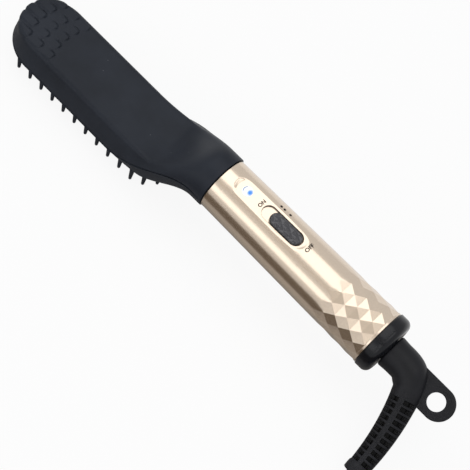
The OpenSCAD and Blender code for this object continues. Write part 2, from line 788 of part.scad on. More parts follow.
module circuit_board() {
    color([0.1, 0.4, 0.25]) about_axis() difference() {
        union() {
            translate([board_step_x, -board_w / 2, board_low])
                cube([board_x0 + board_len - board_step_x, board_w, board_t]);
            translate([board_x0, -board_neck_w / 2, board_low])
                cube([board_step_x - board_x0, board_neck_w, board_t]);
        }
        for (x = board_screw_x) translate([x, 0, 0]) cylinder(h = 5, r = 1.1, $fn = 24);
        for (x = contact_x) translate([x, 0, 0])
            cylinder(h = 5, r = contact_r + 0.02, $fn = 24);
    }
}

module board_screws() {
    color(steel) about_axis() for (x = board_screw_x) translate([x, 0, 0])
        screw(board_high, 1.7, 1.1, board_screw_r, 6);
}

lamp_top = 6.6;
// Where the taller electronic parts stand on the board
part_row_x = board_x0 + board_len - 15.5;

module lamp() {
    color([0.6, 0.75, 1]) about_axis() translate([lens_x, 0, 0]) {
        translate([0, 0, board_high]) cylinder(h = 0.8, r = lamp_r + 0.4, $fn = 32);
        translate([0, 0, board_high]) cylinder(h = lamp_top - lamp_r - board_high, r = lamp_r,
            $fn = 32);
        translate([0, 0, lamp_top - lamp_r]) sphere(r = lamp_r, $fn = 32);
    }
}

module lamp_lens() {
    color([0.9, 0.95, 1]) about_axis() translate([lens_x, 0, 0]) {
        translate([0, 0, pad_low - 0.8])
            cylinder(h = panel_height + 0.1 - pad_low + 0.8, r = lens_d / 2, $fn = 48);
        translate([0, 0, pad_low - 0.8]) cylinder(h = 0.8, r = lens_flange_r, $fn = 48);
        translate([0, 0, lamp_top + 0.2])
            cylinder(h = pad_low - 0.8 - lamp_top, r = 1.6, $fn = 32);
    }
}

module capacitor() {
    color([0.85, 0.7, 0.2]) about_axis() translate([part_row_x, -8.5, board_high])
        cube([9, 5.5, 6.5]);
}

module triac() {
    color(black) about_axis() translate([part_row_x, 2, board_high]) cube([9, 4.4, 5]);
}

module controller_chip() {
    color(black) about_axis() translate([24.5, -8.5, board_high]) cube([5, 6, 1.5]);
}

// ---- End cap, swivel and cord guard ----
cap_round = 4;
clip_t = 1.1;
clip_x = cap_start - 0.3 - clip_t;
clip_r = 5.4;
ring_shaft_r = 4.4;
ring_r = 6.2;
ring_w = 3;
shaft_x0 = cap_bore_x - 9;
holder_x0 = shaft_x0 - 1;
ring_x = [shaft_x0 + 1.5, shaft_x0 + 6.5];
bearing_x0 = cap_bore_x + 3.2;

module end_cap() {
    bore = spindle_d / 2 + running_gap;
    round_pts = [for (n = [0 : 6]) let (a = 90 - 15 * n)
        [cap_d / 2 - cap_round + cap_round * sin(a), cap_end - cap_round + cap_round * cos(a)]];
    color(gloss_black) about_axis() rotate([0, 90, 0]) rotate_extrude($fn = 96) polygon(concat(
        [[cap_spigot_r - 1.6, cap_bore_x + 0.3], [cap_spigot_r, cap_bore_x + 0.3],
            [cap_spigot_r, cap_start], [cap_d / 2 - 0.4, cap_start], [cap_d / 2, cap_start + 0.4]],
        round_pts,
        [[bore, cap_end], [bore, cap_start], [cap_spigot_r - 1.6, cap_start]]));
}

module contact_holder() {
    color(black) about_axis() intersection() {
        rod(holder_x0, cap_bore_x - 0.5, r_at(shaft_x0) - handle_wall - 0.5);
        union() for (s = [-1, 1]) translate([holder_x0, s > 0 ? 5 : -9, -20])
            cube([cap_bore_x - holder_x0 - 1, 4, 12.5]);
    }
}

spring_t = 0.4;

module contact_springs() {
    color(brass) about_axis() for (n = [0, 1]) let (s = n == 0 ? 1 : -1)
        translate([ring_x[n] + 0.5, s > 0 ? ring_r + 0.3 : -ring_r - 0.3 - spring_t, -7.5])
            cube([ring_w - 1, spring_t, 9]);
}

module swivel_spindle() {
    color(black) about_axis() difference() {
        union() {
            rod(shaft_x0, bearing_x0 + eps, ring_shaft_r);
            rod(bearing_x0, spindle_end, spindle_d / 2);
        }
        difference() {
            rod(clip_x - 0.05, clip_x + clip_t + 0.05, spindle_d);
            rod(clip_x - 1, clip_x + clip_t + 1, clip_r);
        }
    }
}

module slip_rings() {
    color(brass) about_axis() for (x = ring_x) difference() {
        rod(x, x + ring_w, ring_r);
        rod(x - 1, x + ring_w + 1, ring_shaft_r + 0.02);
    }
}

module spindle_clip() {
    color(steel) about_axis() difference() {
        rod(clip_x, clip_x + clip_t, clip_r + 3.2);
        rod(clip_x - 1, clip_x + clip_t + 1, clip_r + 0.03);
        translate([clip_x - 1, -2, 2]) cube([clip_t + 2, 4, 12]);
    }
}

// The cord guard lies in a plane through the handle's axis, turned down towards the front.
// [x, w]: w is the distance from the axis along drop_dir.
drop_angle = 25;
drop_dir = [0, -cos(drop_angle), -sin(drop_angle)];
guard_start = cap_end + guard_gap;
elbow_x = cap_end + 8.7;
elbow_turn = 70;
relief_end_w = 57;
relief_w0 = elbow_r * (1 - cos(elbow_turn));
relief_r = (relief_end_w - relief_w0) / cos(elbow_turn);
relief_x0 = elbow_x + elbow_r * sin(elbow_turn);
relief_turn = 90 - elbow_turn;
elbow_steps = 7;
// Centre line at angle a from the handle's axis
function guard_mid(a) = a <= elbow_turn
    ? [elbow_x + elbow_r * sin(a), elbow_r * (1 - cos(a))]
    : [relief_x0 + relief_r * (sin(a) - sin(elbow_turn)),
        relief_w0 + relief_r * (cos(elbow_turn) - cos(a))];
slot_depth = 1.7;
// The elbow starts a hair inside the straight sleeve
elbow_inset = 0.12;
collar_share = 0.12;
// Stations of the guard: [angle, radius, slotted]
function rib_station(s, cut) =
    [elbow_turn + relief_turn * s, mix(relief_d_start, relief_d_end, s) / 2, cut];
guard_stations = concat(
    [for (n = [0 : elbow_steps - 1]) let (s = n / elbow_steps)
        [elbow_turn * s, mix(guard_d, relief_d_start, smooth(s)) / 2 - elbow_inset * (1 - s), 0]],
    [rib_station(0, 0)],
    [for (n = [0 : rib_count - 1]) for (e = [0, 1, 2, 3])
        let (s = (n + [0.22, 0.24, 0.78, 0.8][e]) / rib_count * (1 - collar_share))
        rib_station(s, e == 1 || e == 2 ? 1 : 0)],
    [rib_station(0.94, 0), rib_station(1, 0)]);
guard_sides = 16;

function guard_pt(st, j) =
    let (c = guard_mid(st[0]), a = 360 * (j + 0.5) / guard_sides,
        spine = (j + 2) % 4 == 0, r = st[1] - (st[2] == 1 && !spine ? slot_depth : 0),
        out = r * cos(a), up = r * sin(a))
    // out lies in the guard's plane, square to the centre line; up is the plane's normal
    [c[0] + out * sin(st[0]), c[1] - out * cos(st[0]), up];

module guard_tube() {
    n = len(guard_stations);
    function id(i, j) = i * guard_sides + j % guard_sides;
    polyhedron(
        points = [for (s = guard_stations) for (j = [0 : guard_sides - 1]) guard_pt(s, j)],
        faces = concat(
            [[for (j = [0 : guard_sides - 1]) id(0, guard_sides - 1 - j)]],
            [[for (j = [0 : guard_sides - 1]) id(n - 1, j)]],
            [for (i = [0 : n - 2]) for (j = [0 : guard_sides - 1])
                each [[id(i, j), id(i, j + 1), id(i + 1, j)],
                    [id(i + 1, j), id(i, j + 1), id(i + 1, j + 1)]]]), convexity = 6);
}

// Turns the guard's plane into place: its x stays, its second axis points along drop_dir
module in_guard_plane() {
    about_axis() rotate([180 + drop_angle, 0, 0]) children();
}

tab_mid = 2.2;

module cord_guard() {
    color(black) difference() {
        union() {
            about_axis() rod(guard_start, elbow_x + 0.5, guard_d / 2);
            in_guard_plane() guard_tube();
            in_guard_plane() translate([0, tab_mid, -tab_t / 2]) linear_extrude(tab_t) {
                translate([hang_hole_x + 1.3, 0]) circle(d = tab_w, $fn = fine);
                translate([elbow_x + 3, -tab_w / 2])
                    square([hang_hole_x + 1.3 - elbow_x - 3, tab_w]);
            }
        }
        about_axis() rod(guard_start - 1, spindle_end + 0.02, spindle_d / 2 + 0.02);
        in_guard_plane() translate([hang_hole_x, tab_mid, -tab_t])
            cylinder(h = 2 * tab_t, r = hang_hole_d / 2, $fn = fine);
    }
}

// ---- Cord ----
function unit(v) = v / norm(v);
guard_end = [seam_x + guard_mid(90)[0], drop_dir[1] * relief_end_w,
    axis_height + drop_dir[2] * relief_end_w];
// The free stretch from the guard down to the table and round to the coil
lead_route = [[159.9, -64.9, 7.7], [162.9, -72.1, 5.2], [167.7, -78.3, 3.7], [173.9, -83.1, 3],
    [181.1, -86.1, 3], [188.9, -87.2, 3], [200, -87.3, 3], [212, -87.3, 3], [222, -87.3, 3]];
coil_mid = [242, -40];
coil_outer = 47.3;
coil_start = [coil_mid[0], coil_mid[1] - coil_outer, cord_d / 2];
// The tail rises from the coil over its turns to the plug, which lies on them
tail_route = [[258.8, -86.3, 10.5], [266, -83.3, 12.1], [272.2, -78.5, 14.2], [277, -72.3, 16.4],
    [280, -65.1, 18.3], [281, -58.5, 19.4]];
plug_entry = [281, -46, 19.75];

// A tube of given sides along ring centres; each ring is square to the path there
module tube(path, r, sides) {
    last = len(path) - 1;
    function way(i) = unit(path[min(i + 1, last)] - path[max(i - 1, 0)]);
    function ring(i) = let (t = way(i), side = unit(cross(t, [0, 0, 1])), up = cross(side, t))
        [for (j = [0 : sides - 1]) let (a = 360 * (j + 0.5) / sides)
            path[i] + r * (cos(a) * side + sin(a) * up)];
    function id(i, j) = i * sides + j % sides;
    polyhedron(
        points = [for (i = [0 : last]) each ring(i)],
        faces = concat(
            [[for (j = [0 : sides - 1]) id(0, sides - 1 - j)]],
            [[for (j = [0 : sides - 1]) id(last, j)]],
            [for (i = [0 : last - 1]) for (j = [0 : sides - 1])
                each [[id(i, j), id(i, j + 1), id(i + 1, j)],
                    [id(i + 1, j), id(i, j + 1), id(i + 1, j + 1)]]]), convexity = 8);
}

cord_sides = 8;

module cord_lead() {
    path = concat([guard_end, guard_end + drop_dir * cord_d], lead_route,
        [coil_start - [2 * cord_d, 0, 0], coil_start - [cord_d, 0, 0]]);
    color(gloss_black) tube(path, cord_d / 2, cord_sides);
}

// The coil spirals in on the table, climbs a layer about its innermost point and spirals out
coil_rings = 24;
coil_last = coil_turns * coil_rings;
function coil_pt(i) =
    let (turn = i / coil_rings, half = coil_turns / 2,
        r = coil_outer - coil_step * (half - norm([turn - half, 0.1])),
        climb = smooth((turn - half + 0.25) / 0.5), a = 270 + 360 * turn)
    [coil_mid[0] + r * cos(a), coil_mid[1] + r * sin(a), cord_d / 2 + coil_step * climb];
coil_path = concat([coil_start - [cord_d, 0, 0]],
    [for (i = [0 : coil_last]) coil_pt(i)], [coil_pt(coil_last) + [cord_d, 0, 0]]);
// Least gap between turns: points at least half a turn apart along the tube
coil_gap = min([for (i = [0 : coil_last]) for (j = [i + coil_rings / 2 : 1 : coil_last])
    norm(coil_pt(i) - coil_pt(j))]) - cord_d;

module cord_coil() {
    echo(least_gap_in_coil = coil_gap);
    color(gloss_black) tube(coil_path, cord_d / 2, 6);
}

module cord_tail() {
    coil_end = coil_path[len(coil_path) - 1];
    path = concat([coil_end, coil_end + [cord_d / 2, 0, 0]], tail_route,
        [plug_entry - [0, cord_d, 0], plug_entry]);
    color(gloss_black) tube(path, cord_d / 2, cord_sides);
}

// ---- Plug: flat two-pin plug lying on the coil, pins along +Y ----
plug_t = 13.7;
plug_neck = 9;
plug_len = 27;
plug_w = 34;
// Each pin has a thinner root, held in the plug and standing a little out of it
pin_root_in = 7.9;
pin_root_out = 0.5;
pin_root_r = plug_pin_d / 2 - 0.4;
pin_nose = 1;

module plug_body() {
    color(gloss_black) translate(plug_entry) {
        rotate([-90, 0, 0]) cylinder(h = plug_neck + 2, r1 = 4, r2 = 5.4, $fn = 32);
        difference() {
            translate([0, 0, -plug_t / 2]) linear_extrude(plug_t) polygon([
                [-6.8, plug_neck], [6.8, plug_neck], [plug_w / 2 - 6, plug_neck + plug_len * 0.55],
                [plug_w / 2, plug_neck + plug_len - 4], [plug_w / 2, plug_neck + plug_len],
                [-plug_w / 2, plug_neck + plug_len], [-plug_w / 2, plug_neck + plug_len - 4],
                [-plug_w / 2 + 6, plug_neck + plug_len * 0.55]]);
            for (s = [-1, 1])
                translate([s * plug_pin_pitch / 2, plug_neck + plug_len - pin_root_in - 0.1, 0])
                    rotate([-90, 0, 0])
                        cylinder(h = pin_root_in + 1, r = pin_root_r + 0.02, $fn = 32);
        }
    }
}

module plug_pins() {
    color(steel) translate(plug_entry) for (s = [-1, 1])
        translate([s * plug_pin_pitch / 2, plug_neck + plug_len, 0]) rotate([-90, 0, 0]) {
            translate([0, 0, -pin_root_in])
                cylinder(h = pin_root_in + pin_root_out + eps, r = pin_root_r, $fn = 32);
            translate([0, 0, pin_root_out])
                cylinder(h = plug_pin_len - pin_nose - pin_root_out, r = plug_pin_d / 2, $fn = 32);
            translate([0, 0, plug_pin_len - pin_nose])
                cylinder(h = pin_nose, r1 = plug_pin_d / 2, r2 = plug_pin_d / 2 - 0.8, $fn = 32);
        }
}

// ---- Inner leads, given about the handle's axis ----
lead_r = 0.8;
sensor_lead_r = 0.6;
electrode_tab_x = heater_mid + heater_len / 2 + 4;
electrode_tab_y = stone_w / 2 - 1.2;

module heater_leads() {
    shared = [[board_x0 - 0.1, 3.6, board_high], [4, 3.8, 2.4], [-6, 4.4, 0.5],
        for (q = [[0.23, 5.2, 0.284], [0.46, 5.8, 0.644], [0.69, 5.9, 0.876]])
            [mix(-6, electrode_tab_x + 3.5, q[0]), q[1], mix(0.5, electrode_high, q[2])]];
    color([0.8, 0.2, 0.15]) about_axis() {
        tube(concat(shared, [[electrode_tab_x + 5, electrode_tab_y + 0.3, -18.6],
            [electrode_tab_x + 0.1, electrode_tab_y, electrode_high]]), lead_r, 8);
        tube(concat([for (p = shared) [p[0], -p[1], p[2]]],
            [[electrode_tab_x + 5, -electrode_tab_y - 0.3, -19.6],
                [electrode_tab_x + 0.1, -electrode_tab_y, electrode_low + lead_r]]), lead_r, 8);
    }
}

module sensor_leads() {
    color([0.9, 0.9, 0.3]) about_axis() for (side = [-0.7, 0.7])
        tube([for (p = [[board_x0 - 0.1, -5.9, board_high], [4, -6.4, 2], [-6, -7.2, 0],
            [-16, -8, -6], [-26, -8.6, -13], [-36, -8.4, -18.5],
            [clamp_screw_x[1] + 3.6, -7.5, comb_top + sensor_r]]) p + [0, side, 0]],
            sensor_lead_r, 8);
}

module mains_leads() {
    color([0.35, 0.25, 0.2]) about_axis() for (s = [-1, 1])
        tube([for (p = [[board_x0 + board_len + 0.1, 6.5, board_low + lead_r],
            [board_x0 + board_len + 2, 6.5, board_low + lead_r],
            for (q = [[0.26, 7, 0.5], [0.58, 7.2, -4], [0.81, 7.2, -8], [1, 7, -9]])
                [mix(board_x0 + board_len + 2, holder_x0 - 2, q[0]), q[1], q[2]],
            [holder_x0 - 0.1, 7, -9]])
            [p[0], s * p[1], p[2]]], lead_r, 8);
}

head_cover();
head_base();
guard_pins();
heat_comb();
lower_film();
lower_electrode();
heating_stones();
upper_electrode();
upper_film();
heater_clamp();
clamp_screws();
comb_screws();
thermal_fuse();
thermistor();
heater_leads();
sensor_leads();
head_screws();
neck_sleeve();
handle_top();
handle_bottom();
handle_screws();
slider_knob();
knob_retainer();
switch_carriage();
switch_body();
switch_contacts();
circuit_board();
board_screws();
lamp();
lamp_lens();
capacitor();
triac();
controller_chip();
end_cap();
contact_holder();
contact_springs();
mains_leads();
swivel_spindle();
slip_rings();
spindle_clip();
cord_guard();
cord_lead();
cord_coil();
cord_tail();
plug_body();
plug_pins();
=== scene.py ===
import json
import math

import bmesh
import bpy
import numpy as np
from bpy.props import FloatProperty, FloatVectorProperty, IntProperty, PointerProperty
from bpy.types import Operator, Panel, PropertyGroup
from mathutils import Matrix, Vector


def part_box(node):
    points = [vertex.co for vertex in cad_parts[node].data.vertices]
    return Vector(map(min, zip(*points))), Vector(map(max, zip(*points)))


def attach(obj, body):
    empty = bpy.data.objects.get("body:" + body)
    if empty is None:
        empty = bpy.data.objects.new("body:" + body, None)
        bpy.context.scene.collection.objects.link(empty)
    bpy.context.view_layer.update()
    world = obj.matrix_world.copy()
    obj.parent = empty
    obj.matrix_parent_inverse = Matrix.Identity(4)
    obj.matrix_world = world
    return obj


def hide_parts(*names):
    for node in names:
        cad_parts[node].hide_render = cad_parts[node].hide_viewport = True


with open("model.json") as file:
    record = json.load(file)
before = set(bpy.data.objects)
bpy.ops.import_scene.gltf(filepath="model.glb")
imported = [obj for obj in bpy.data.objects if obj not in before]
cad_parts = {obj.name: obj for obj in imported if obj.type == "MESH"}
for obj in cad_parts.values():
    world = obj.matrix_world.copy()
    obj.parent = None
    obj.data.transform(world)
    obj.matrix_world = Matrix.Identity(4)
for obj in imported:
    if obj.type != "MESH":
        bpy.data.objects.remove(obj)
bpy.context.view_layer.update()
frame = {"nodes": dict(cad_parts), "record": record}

bl_info = {
    "name": "Hot comb",
    "version": (1, 0, 0),
    "blender": (4, 5, 0),
    "location": "3D View > Sidebar > Hot comb",
    "description": "Dresses the packed hot comb: shells, switch, cord guard, cord and stage",
    "category": "Add Mesh",
}

# Shapes are worked out in millimetres about the handle's axis, x = 0 at the seam between head
# and handle, and placed by SEAM_X and AXIS_Z.
MM = 0.001
SEAM_GAP = 0.5
TINY = 0.001  # radius in millimetres of a ring that closes a surface on its middle
SEAM_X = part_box("handle_top")[0].x / MM - SEAM_GAP / 2
AXIS_Z = (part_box("end_cap")[0].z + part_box("end_cap")[1].z) / 2 / MM


# ---- Sizes and colours that a user would change ----
def length_of(name, low, default, high, description):
    """A length in metres that a user may change."""
    return FloatProperty(name=name, description=description, default=default, min=low,
                         max=high, unit="LENGTH")


def number_of(name, low, default, high, description):
    """A count that a user may change."""
    return IntProperty(name=name, description=description, default=default, min=low, max=high)


def colour_of(name, default, description):
    """A colour that a user may change."""
    return FloatVectorProperty(name=name, description=description, default=default,
                               subtype="COLOR", min=0.0, max=1.0)


class HeadSizes(PropertyGroup):
    """Sizes of the head."""

    length: length_of("Length", 0.13, 0.1432, 0.16, "From the nose's tip to the seam")
    width: length_of("Width", 0.038, 0.0428, 0.048, "Over the parting line")
    top_width: length_of("Top width", 0.028, 0.0338, 0.036, "Width of the flat top")
    collar: length_of("Collar", 0.03, 0.0318, 0.036, "Diameter of the collar at the seam")
    pad_rise: length_of("Pad rise", 0.0, 0.0007, 0.001, "How far the grip pads stand up")


class HandleSizes(PropertyGroup):
    """Sizes of the handle."""

    length: length_of("Length", 0.1, 0.112, 0.14, "Length of the two handle shells")
    front: length_of("Front diameter", 0.028, 0.0303, 0.034, "Diameter at the head end")
    rear: length_of("Rear diameter", 0.03, 0.033, 0.038, "Diameter at the cord end")
    facets: number_of("Facets", 8, 14, 20, "Facets around the diamond grip")
    bands: number_of("Bands", 3, 6, 6, "Bands of facets along the handle")


class SwitchSizes(PropertyGroup):
    """Sizes of the slide switch."""

    knob_length: length_of("Knob length", 0.018, 0.0209, 0.023, "Length of the slider knob")
    knob_width: length_of("Knob width", 0.007, 0.0081, 0.009, "Width of the slider knob")
    knurl: length_of("Knurl height", 0.0, 0.00055, 0.001, "Height of the knob's pyramids")


class CordSizes(PropertyGroup):
    """Sizes of the cord guard and the cord."""

    guard: length_of("Guard diameter", 0.016, 0.018, 0.02, "Diameter at the swivel")
    ribs: number_of("Ribs", 8, 11, 12, "Ribs along the guard")
    cord: length_of("Cord diameter", 0.005, 0.006, 0.007, "Diameter of the cord")


class FinishColours(PropertyGroup):
    """Colours of the comb's finishes."""

    gold: colour_of("Gold lacquer", (0.78, 0.65, 0.52), "Colour of the handle")
    soft: colour_of("Soft black", (0.0195, 0.023, 0.031), "Colour of the head")
    rubber: colour_of("Rubber", (0.0115, 0.0118, 0.0142), "Colour of the cord guard")
    glow: colour_of("Lamp", (0.01, 0.27, 0.85), "Colour of the lamp's glow")


# ---- Surfaces ----
def smooth(t):
    """An S-curve: 3 t^2 - 2 t^3 between 0 and 1, level outside."""
    t = np.clip(t, 0, 1)
    return t * t * (3 - 2 * t)


def mix(a, b, t):
    """A straight blend: a where t is 0, b where t is 1."""
    return a + (b - a) * t


def unit(v):
    """A vector scaled to length 1."""
    return v / np.linalg.norm(v)


def circle(steps):
    """The angles of even steps round a circle."""
    return np.linspace(0, 2 * math.pi, steps, endpoint=False)


def about_axis(x, r, a):
    """Points at station x, at radius r and angle a from the top, about the handle's axis."""
    return np.stack(np.broadcast_arrays(x, r * np.sin(a), r * np.cos(a)), -1)


def new_object(name, data):
    """An object that holds the data, linked into the scene."""
    item = bpy.data.objects.new(name, data)
    bpy.context.scene.collection.objects.link(item)
    return item


def set_axes(item, right, up, back, place):
    """Stands an object on its three axes and its origin."""
    item.matrix_world = Matrix([*np.stack([right, up, back, place], 1).tolist(), [0, 0, 0, 1]])


def grid_quads(n, m, around=False, keep=None):
    """Quads of an n by m grid of points; around joins the last column to the first, and keep
    is a mask of the cells that stay."""
    i, j = np.meshgrid(np.arange(n - 1), np.arange(m if around else m - 1), indexing="ij")
    k = (j + 1) % m
    quads = np.stack([i * m + j, i * m + k, (i + 1) * m + k, (i + 1) * m + j], -1)
    return quads.reshape(-1, 4) if keep is None else quads[keep]


def strip(a, b, closed=False):
    """One row of quads between two lines of points of the same count."""
    return np.concatenate([a, b]), grid_quads(2, len(a), around=closed)


def sheet(points, around=False, keep=None):
    """The quads of an (n, m, 3) array of points."""
    n, m = points.shape[:2]
    return points.reshape(-1, 3), grid_quads(n, m, around, keep)


def edge_walls(outer, inner, keep, open_rows=()):
    """Quads that join two grids along every edge between a kept cell and none. open_rows
    names border rows that close on themselves and need no wall."""
    n, m = outer.shape[:2]
    both = np.concatenate([outer.reshape(-1, 3), inner.reshape(-1, 3)])
    full = np.pad(keep, 1)
    rows, cols = full[:-1, 1:-1] != full[1:, 1:-1], full[1:-1, :-1] != full[1:-1, 1:]
    for r in open_rows:
        rows[r] = False
    i, j = np.nonzero(rows)
    a = np.stack([i * m + j, i * m + j + 1], 1)
    i, j = np.nonzero(cols)
    b = np.stack([i * m + j, (i + 1) * m + j], 1)
    e = np.concatenate([a, b])
    return both, np.concatenate([e, e[:, ::-1] + n * m], 1)


def above_plane(points, tris):
    """Triangles cut by z = 0, keeping what lies above: a corner above gives one triangle, two
    corners above give two."""
    p = points[tris]
    up = p[:, :, 2] > 1e-9
    out = [p[up.all(1)]]
    for count in (1, 2):
        some = p[up.sum(1) == count]
        lone = (up[up.sum(1) == count] == (count == 1)).argmax(1)
        order = (lone[:, None] + np.arange(3)) % 3
        q = np.take_along_axis(some, order[:, :, None], 1)
        a, b, c = q[:, 0], q[:, 1], q[:, 2]
        with np.errstate(divide="ignore", invalid="ignore"):
            ab = a + (b - a) * np.nan_to_num(a[:, 2] / (a[:, 2] - b[:, 2]))[:, None]
            ac = a + (c - a) * np.nan_to_num(a[:, 2] / (a[:, 2] - c[:, 2]))[:, None]
        if count == 1:
            out.append(np.stack([a, ab, ac], 1))
        else:
            out += [np.stack([ab, b, c], 1), np.stack([ab, c, ac], 1)]
    cut = np.concatenate(out)
    return cut.reshape(-1, 3), np.arange(len(cut) * 3).reshape(-1, 3)


def stadium(cx, half, r, count):
    """Points round a stadium from the 45 degree point of its front cap, clockwise seen from
    above: count[0] steps over each cap's front quarter pair and count[1] along each side.
    Each side runs an eighth arc, a straight and an eighth arc at an even pace."""
    f = np.arange(count[0]) / count[0]
    a = np.radians(-45 + 90 * f)
    front = np.stack([cx - half - r * np.cos(a), r * np.sin(a)], 1)
    arc = r * math.pi / 4
    s = np.arange(count[1]) / count[1] * (2 * arc + 2 * half)
    first, last = s < arc, s > arc + 2 * half
    t = np.where(first, math.pi / 4 + s / r, (s - arc - 2 * half) / r)
    x = np.where(first, cx - half - r * np.cos(t),
                 np.where(last, cx + half + r * np.sin(t), cx - half + s - arc))
    y = np.where(first, r * np.sin(t), np.where(last, r * np.cos(t), r))
    side = np.stack([x, y], 1)
    turned = lambda q: np.stack([2 * cx - q[:, 0], -q[:, 1]], 1)
    return np.concatenate([front, side, turned(front), turned(side)])


def with_z(xy, z):
    """Adds a height, one number or one per point, to plan points."""
    return np.concatenate([xy, np.broadcast_to(np.asarray(z, float), xy.shape[:-1])[..., None]], -1)


def make_piece(name, parts, material, body, replaces=(), sharp=30.0, flat=(),
               placed=True):
    """Joins surfaces into one mesh. Points within a thousandth of a millimetre become one,
    collapsed corners drop out, and normals are turned outwards. flat lists the parts whose
    faces stay flat."""
    starts = np.cumsum([0] + [len(p) for p, _ in parts])
    points = np.concatenate([p for p, _ in parts])
    _, first, back = np.unique(np.round(points, 3), axis=0, return_index=True,
                               return_inverse=True)
    points, back = points[first], back.reshape(-1)

    def faces_of(corners):
        """The faces with so many corners, and which of them stay flat."""
        some = [(back[f + start], np.full(len(f), k in flat))
                for k, ((_, f), start) in enumerate(zip(parts, starts)) if f.shape[1] == corners]
        return (np.concatenate([np.zeros((0, corners), int), *(f for f, _ in some)]),
                np.concatenate([np.zeros(0, bool), *(marks for _, marks in some)]))

    (tri, tri_flat), (quad, quad_flat) = faces_of(3), faces_of(4)
    for a, b in ((0, 1), (1, 2), (2, 3), (3, 0)):
        same = quad[:, a] == quad[:, b]
        rest = [c for c in range(4) if c != b]
        tri = np.concatenate([tri, quad[same][:, rest]])
        tri_flat = np.concatenate([tri_flat, quad_flat[same]])
        quad, quad_flat = quad[~same], quad_flat[~same]
    ok = (tri[:, 0] != tri[:, 1]) & (tri[:, 1] != tri[:, 2]) & (tri[:, 2] != tri[:, 0])
    tri, tri_flat = tri[ok], tri_flat[ok]
    if placed:
        points = points + np.array([SEAM_X, 0, AXIS_Z])
    mesh = bpy.data.meshes.new(name)
    mesh.from_pydata((points * MM).tolist(), [], quad.tolist() + tri.tolist())
    rounded = ~np.concatenate([quad_flat, tri_flat])
    mesh.polygons.foreach_set("use_smooth", rounded)
    bm = bmesh.new()
    bm.from_mesh(mesh)
    bmesh.ops.recalc_face_normals(bm, faces=bm.faces)
    bm.to_mesh(mesh)
    bm.free()
    mesh.set_sharp_from_angle(angle=math.radians(sharp))
    mesh.polygons.foreach_set("use_smooth", rounded)
    mesh.materials.append(material)
    piece = new_object(name, mesh)
    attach(piece, body)
    if replaces:
        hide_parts(*replaces)
    return piece


# ---- Materials ----
class Socket:
    """A shader value. Sums, products and comparisons of values add Math nodes."""

    def __init__(self, tree, out):
        self.tree, self.out = tree, out

    def _math(self, operation, a, b):
        return self.tree.node("ShaderNodeMath", {"operation": operation}, {0: a, 1: b})

    def __add__(self, b): return self._math("ADD", self, b)
    def __radd__(self, b): return self._math("ADD", b, self)
    def __sub__(self, b): return self._math("SUBTRACT", self, b)
    def __rsub__(self, b): return self._math("SUBTRACT", b, self)
    def __mul__(self, b): return self._math("MULTIPLY", self, b)
    def __rmul__(self, b): return self._math("MULTIPLY", b, self)
    def __gt__(self, b): return self._math("GREATER_THAN", self, b)
    def __lt__(self, b): return self._math("LESS_THAN", self, b)
    def power(self, b): return self._math("POWER", self, b)
    def minimum(self, b): return self._math("MINIMUM", self, b)
    def maximum(self, b): return self._math("MAXIMUM", self, b)


class Tree:
    """The node tree of a material or a world, emptied and built anew."""

    def __init__(self, owner):
        owner.use_nodes = True
        self.nodes, self.links = owner.node_tree.nodes, owner.node_tree.links
        self.nodes.clear()

    def put(self, socket, value):
        """Links a Socket to an input, or sets a plain value on it."""
        if isinstance(value, Socket):
            self.links.new(value.out, socket)
        elif socket.type == "RGBA":
            socket.default_value = (*tuple(value)[:3], 1.0)
        else:
            socket.default_value = value

    def node(self, kind, settings, values, out=0):
        """Adds a node of a kind: its settings first, then values or links of its sockets."""
        n = self.nodes.new(kind)
        for key, value in settings.items():
            setattr(n, key, value)
        for key, value in values.items():
            self.put(n.inputs[key], value)
        return Socket(self, n.outputs[out]) if n.outputs else n

    def rays(self, kind):
        """1 for rays of a kind, such as Camera or Glossy, and 0 for others."""
        return self.node("ShaderNodeLightPath", {}, {}, f"Is {kind} Ray")


class Finish(Tree):
    """A material under construction."""

    def __init__(self, name, base, roughness=0.5, metallic=0.0, **fixed):
        self.material = bpy.data.materials.new(name)
        super().__init__(self.material)
        self.shader = self.node("ShaderNodeBsdfPrincipled", {}, {})
        self.end = self.node("ShaderNodeOutputMaterial", {}, {0: self.shader})
        self.set(Roughness=roughness, Metallic=metallic, Base_Color=base, **fixed)
        self.material.diffuse_color = (*tuple(base)[:3], 1.0)
        self.place = self.node("ShaderNodeTexCoord", {}, {}, "Object")

    def set(self, **values):
        """Sets the shader's sockets by name, with _ for a space."""
        for key, value in values.items():
            self.put(self.shader.out.node.inputs[key.replace("_", " ")], value)

    def axes(self):
        """The three object coordinates as values, in millimetres."""
        s = self.node("ShaderNodeSeparateXYZ", {}, {0: self.place})
        return [Socket(self, out) * 1000.0 for out in s.out.node.outputs]

    def noise(self, scale, detail=2.0, rough=0.5, stretch=(1.0, 1.0, 1.0)):
        """A noise over the object coordinates, scaled and stretched."""
        where = self.place if stretch == (1.0, 1.0, 1.0) else self.node(
            "ShaderNodeMapping", {}, {"Vector": self.place, "Scale": stretch})
        return self.node("ShaderNodeTexNoise", {}, {
            "Vector": where, "Scale": scale, "Detail": detail, "Roughness": rough})

    def blend(self, factor, a, b):
        """Mixes two colours."""
        return self.node("ShaderNodeMix", {"data_type": "RGBA"}, {0: factor, 6: a, 7: b}, 2)

    def ramp(self, factor, low, high, smooth_step=False):
        """Maps a value from low..high to 0..1."""
        return self.node("ShaderNodeMapRange", {
            "interpolation_type": "SMOOTHSTEP" if smooth_step else "LINEAR"},
            {"Value": factor, "From Min": low, "From Max": high})

    def bumped(self, height, strength, distance):
        """Adds a bump in metres and returns the finished material."""
        self.set(Normal=self.node("ShaderNodeBump", {}, {
            "Strength": strength, "Distance": distance, "Height": height}))
        return self.material


def tint(colour, k):
    """A colour made lighter or darker."""
    return tuple(min(1.0, c * k) for c in colour)


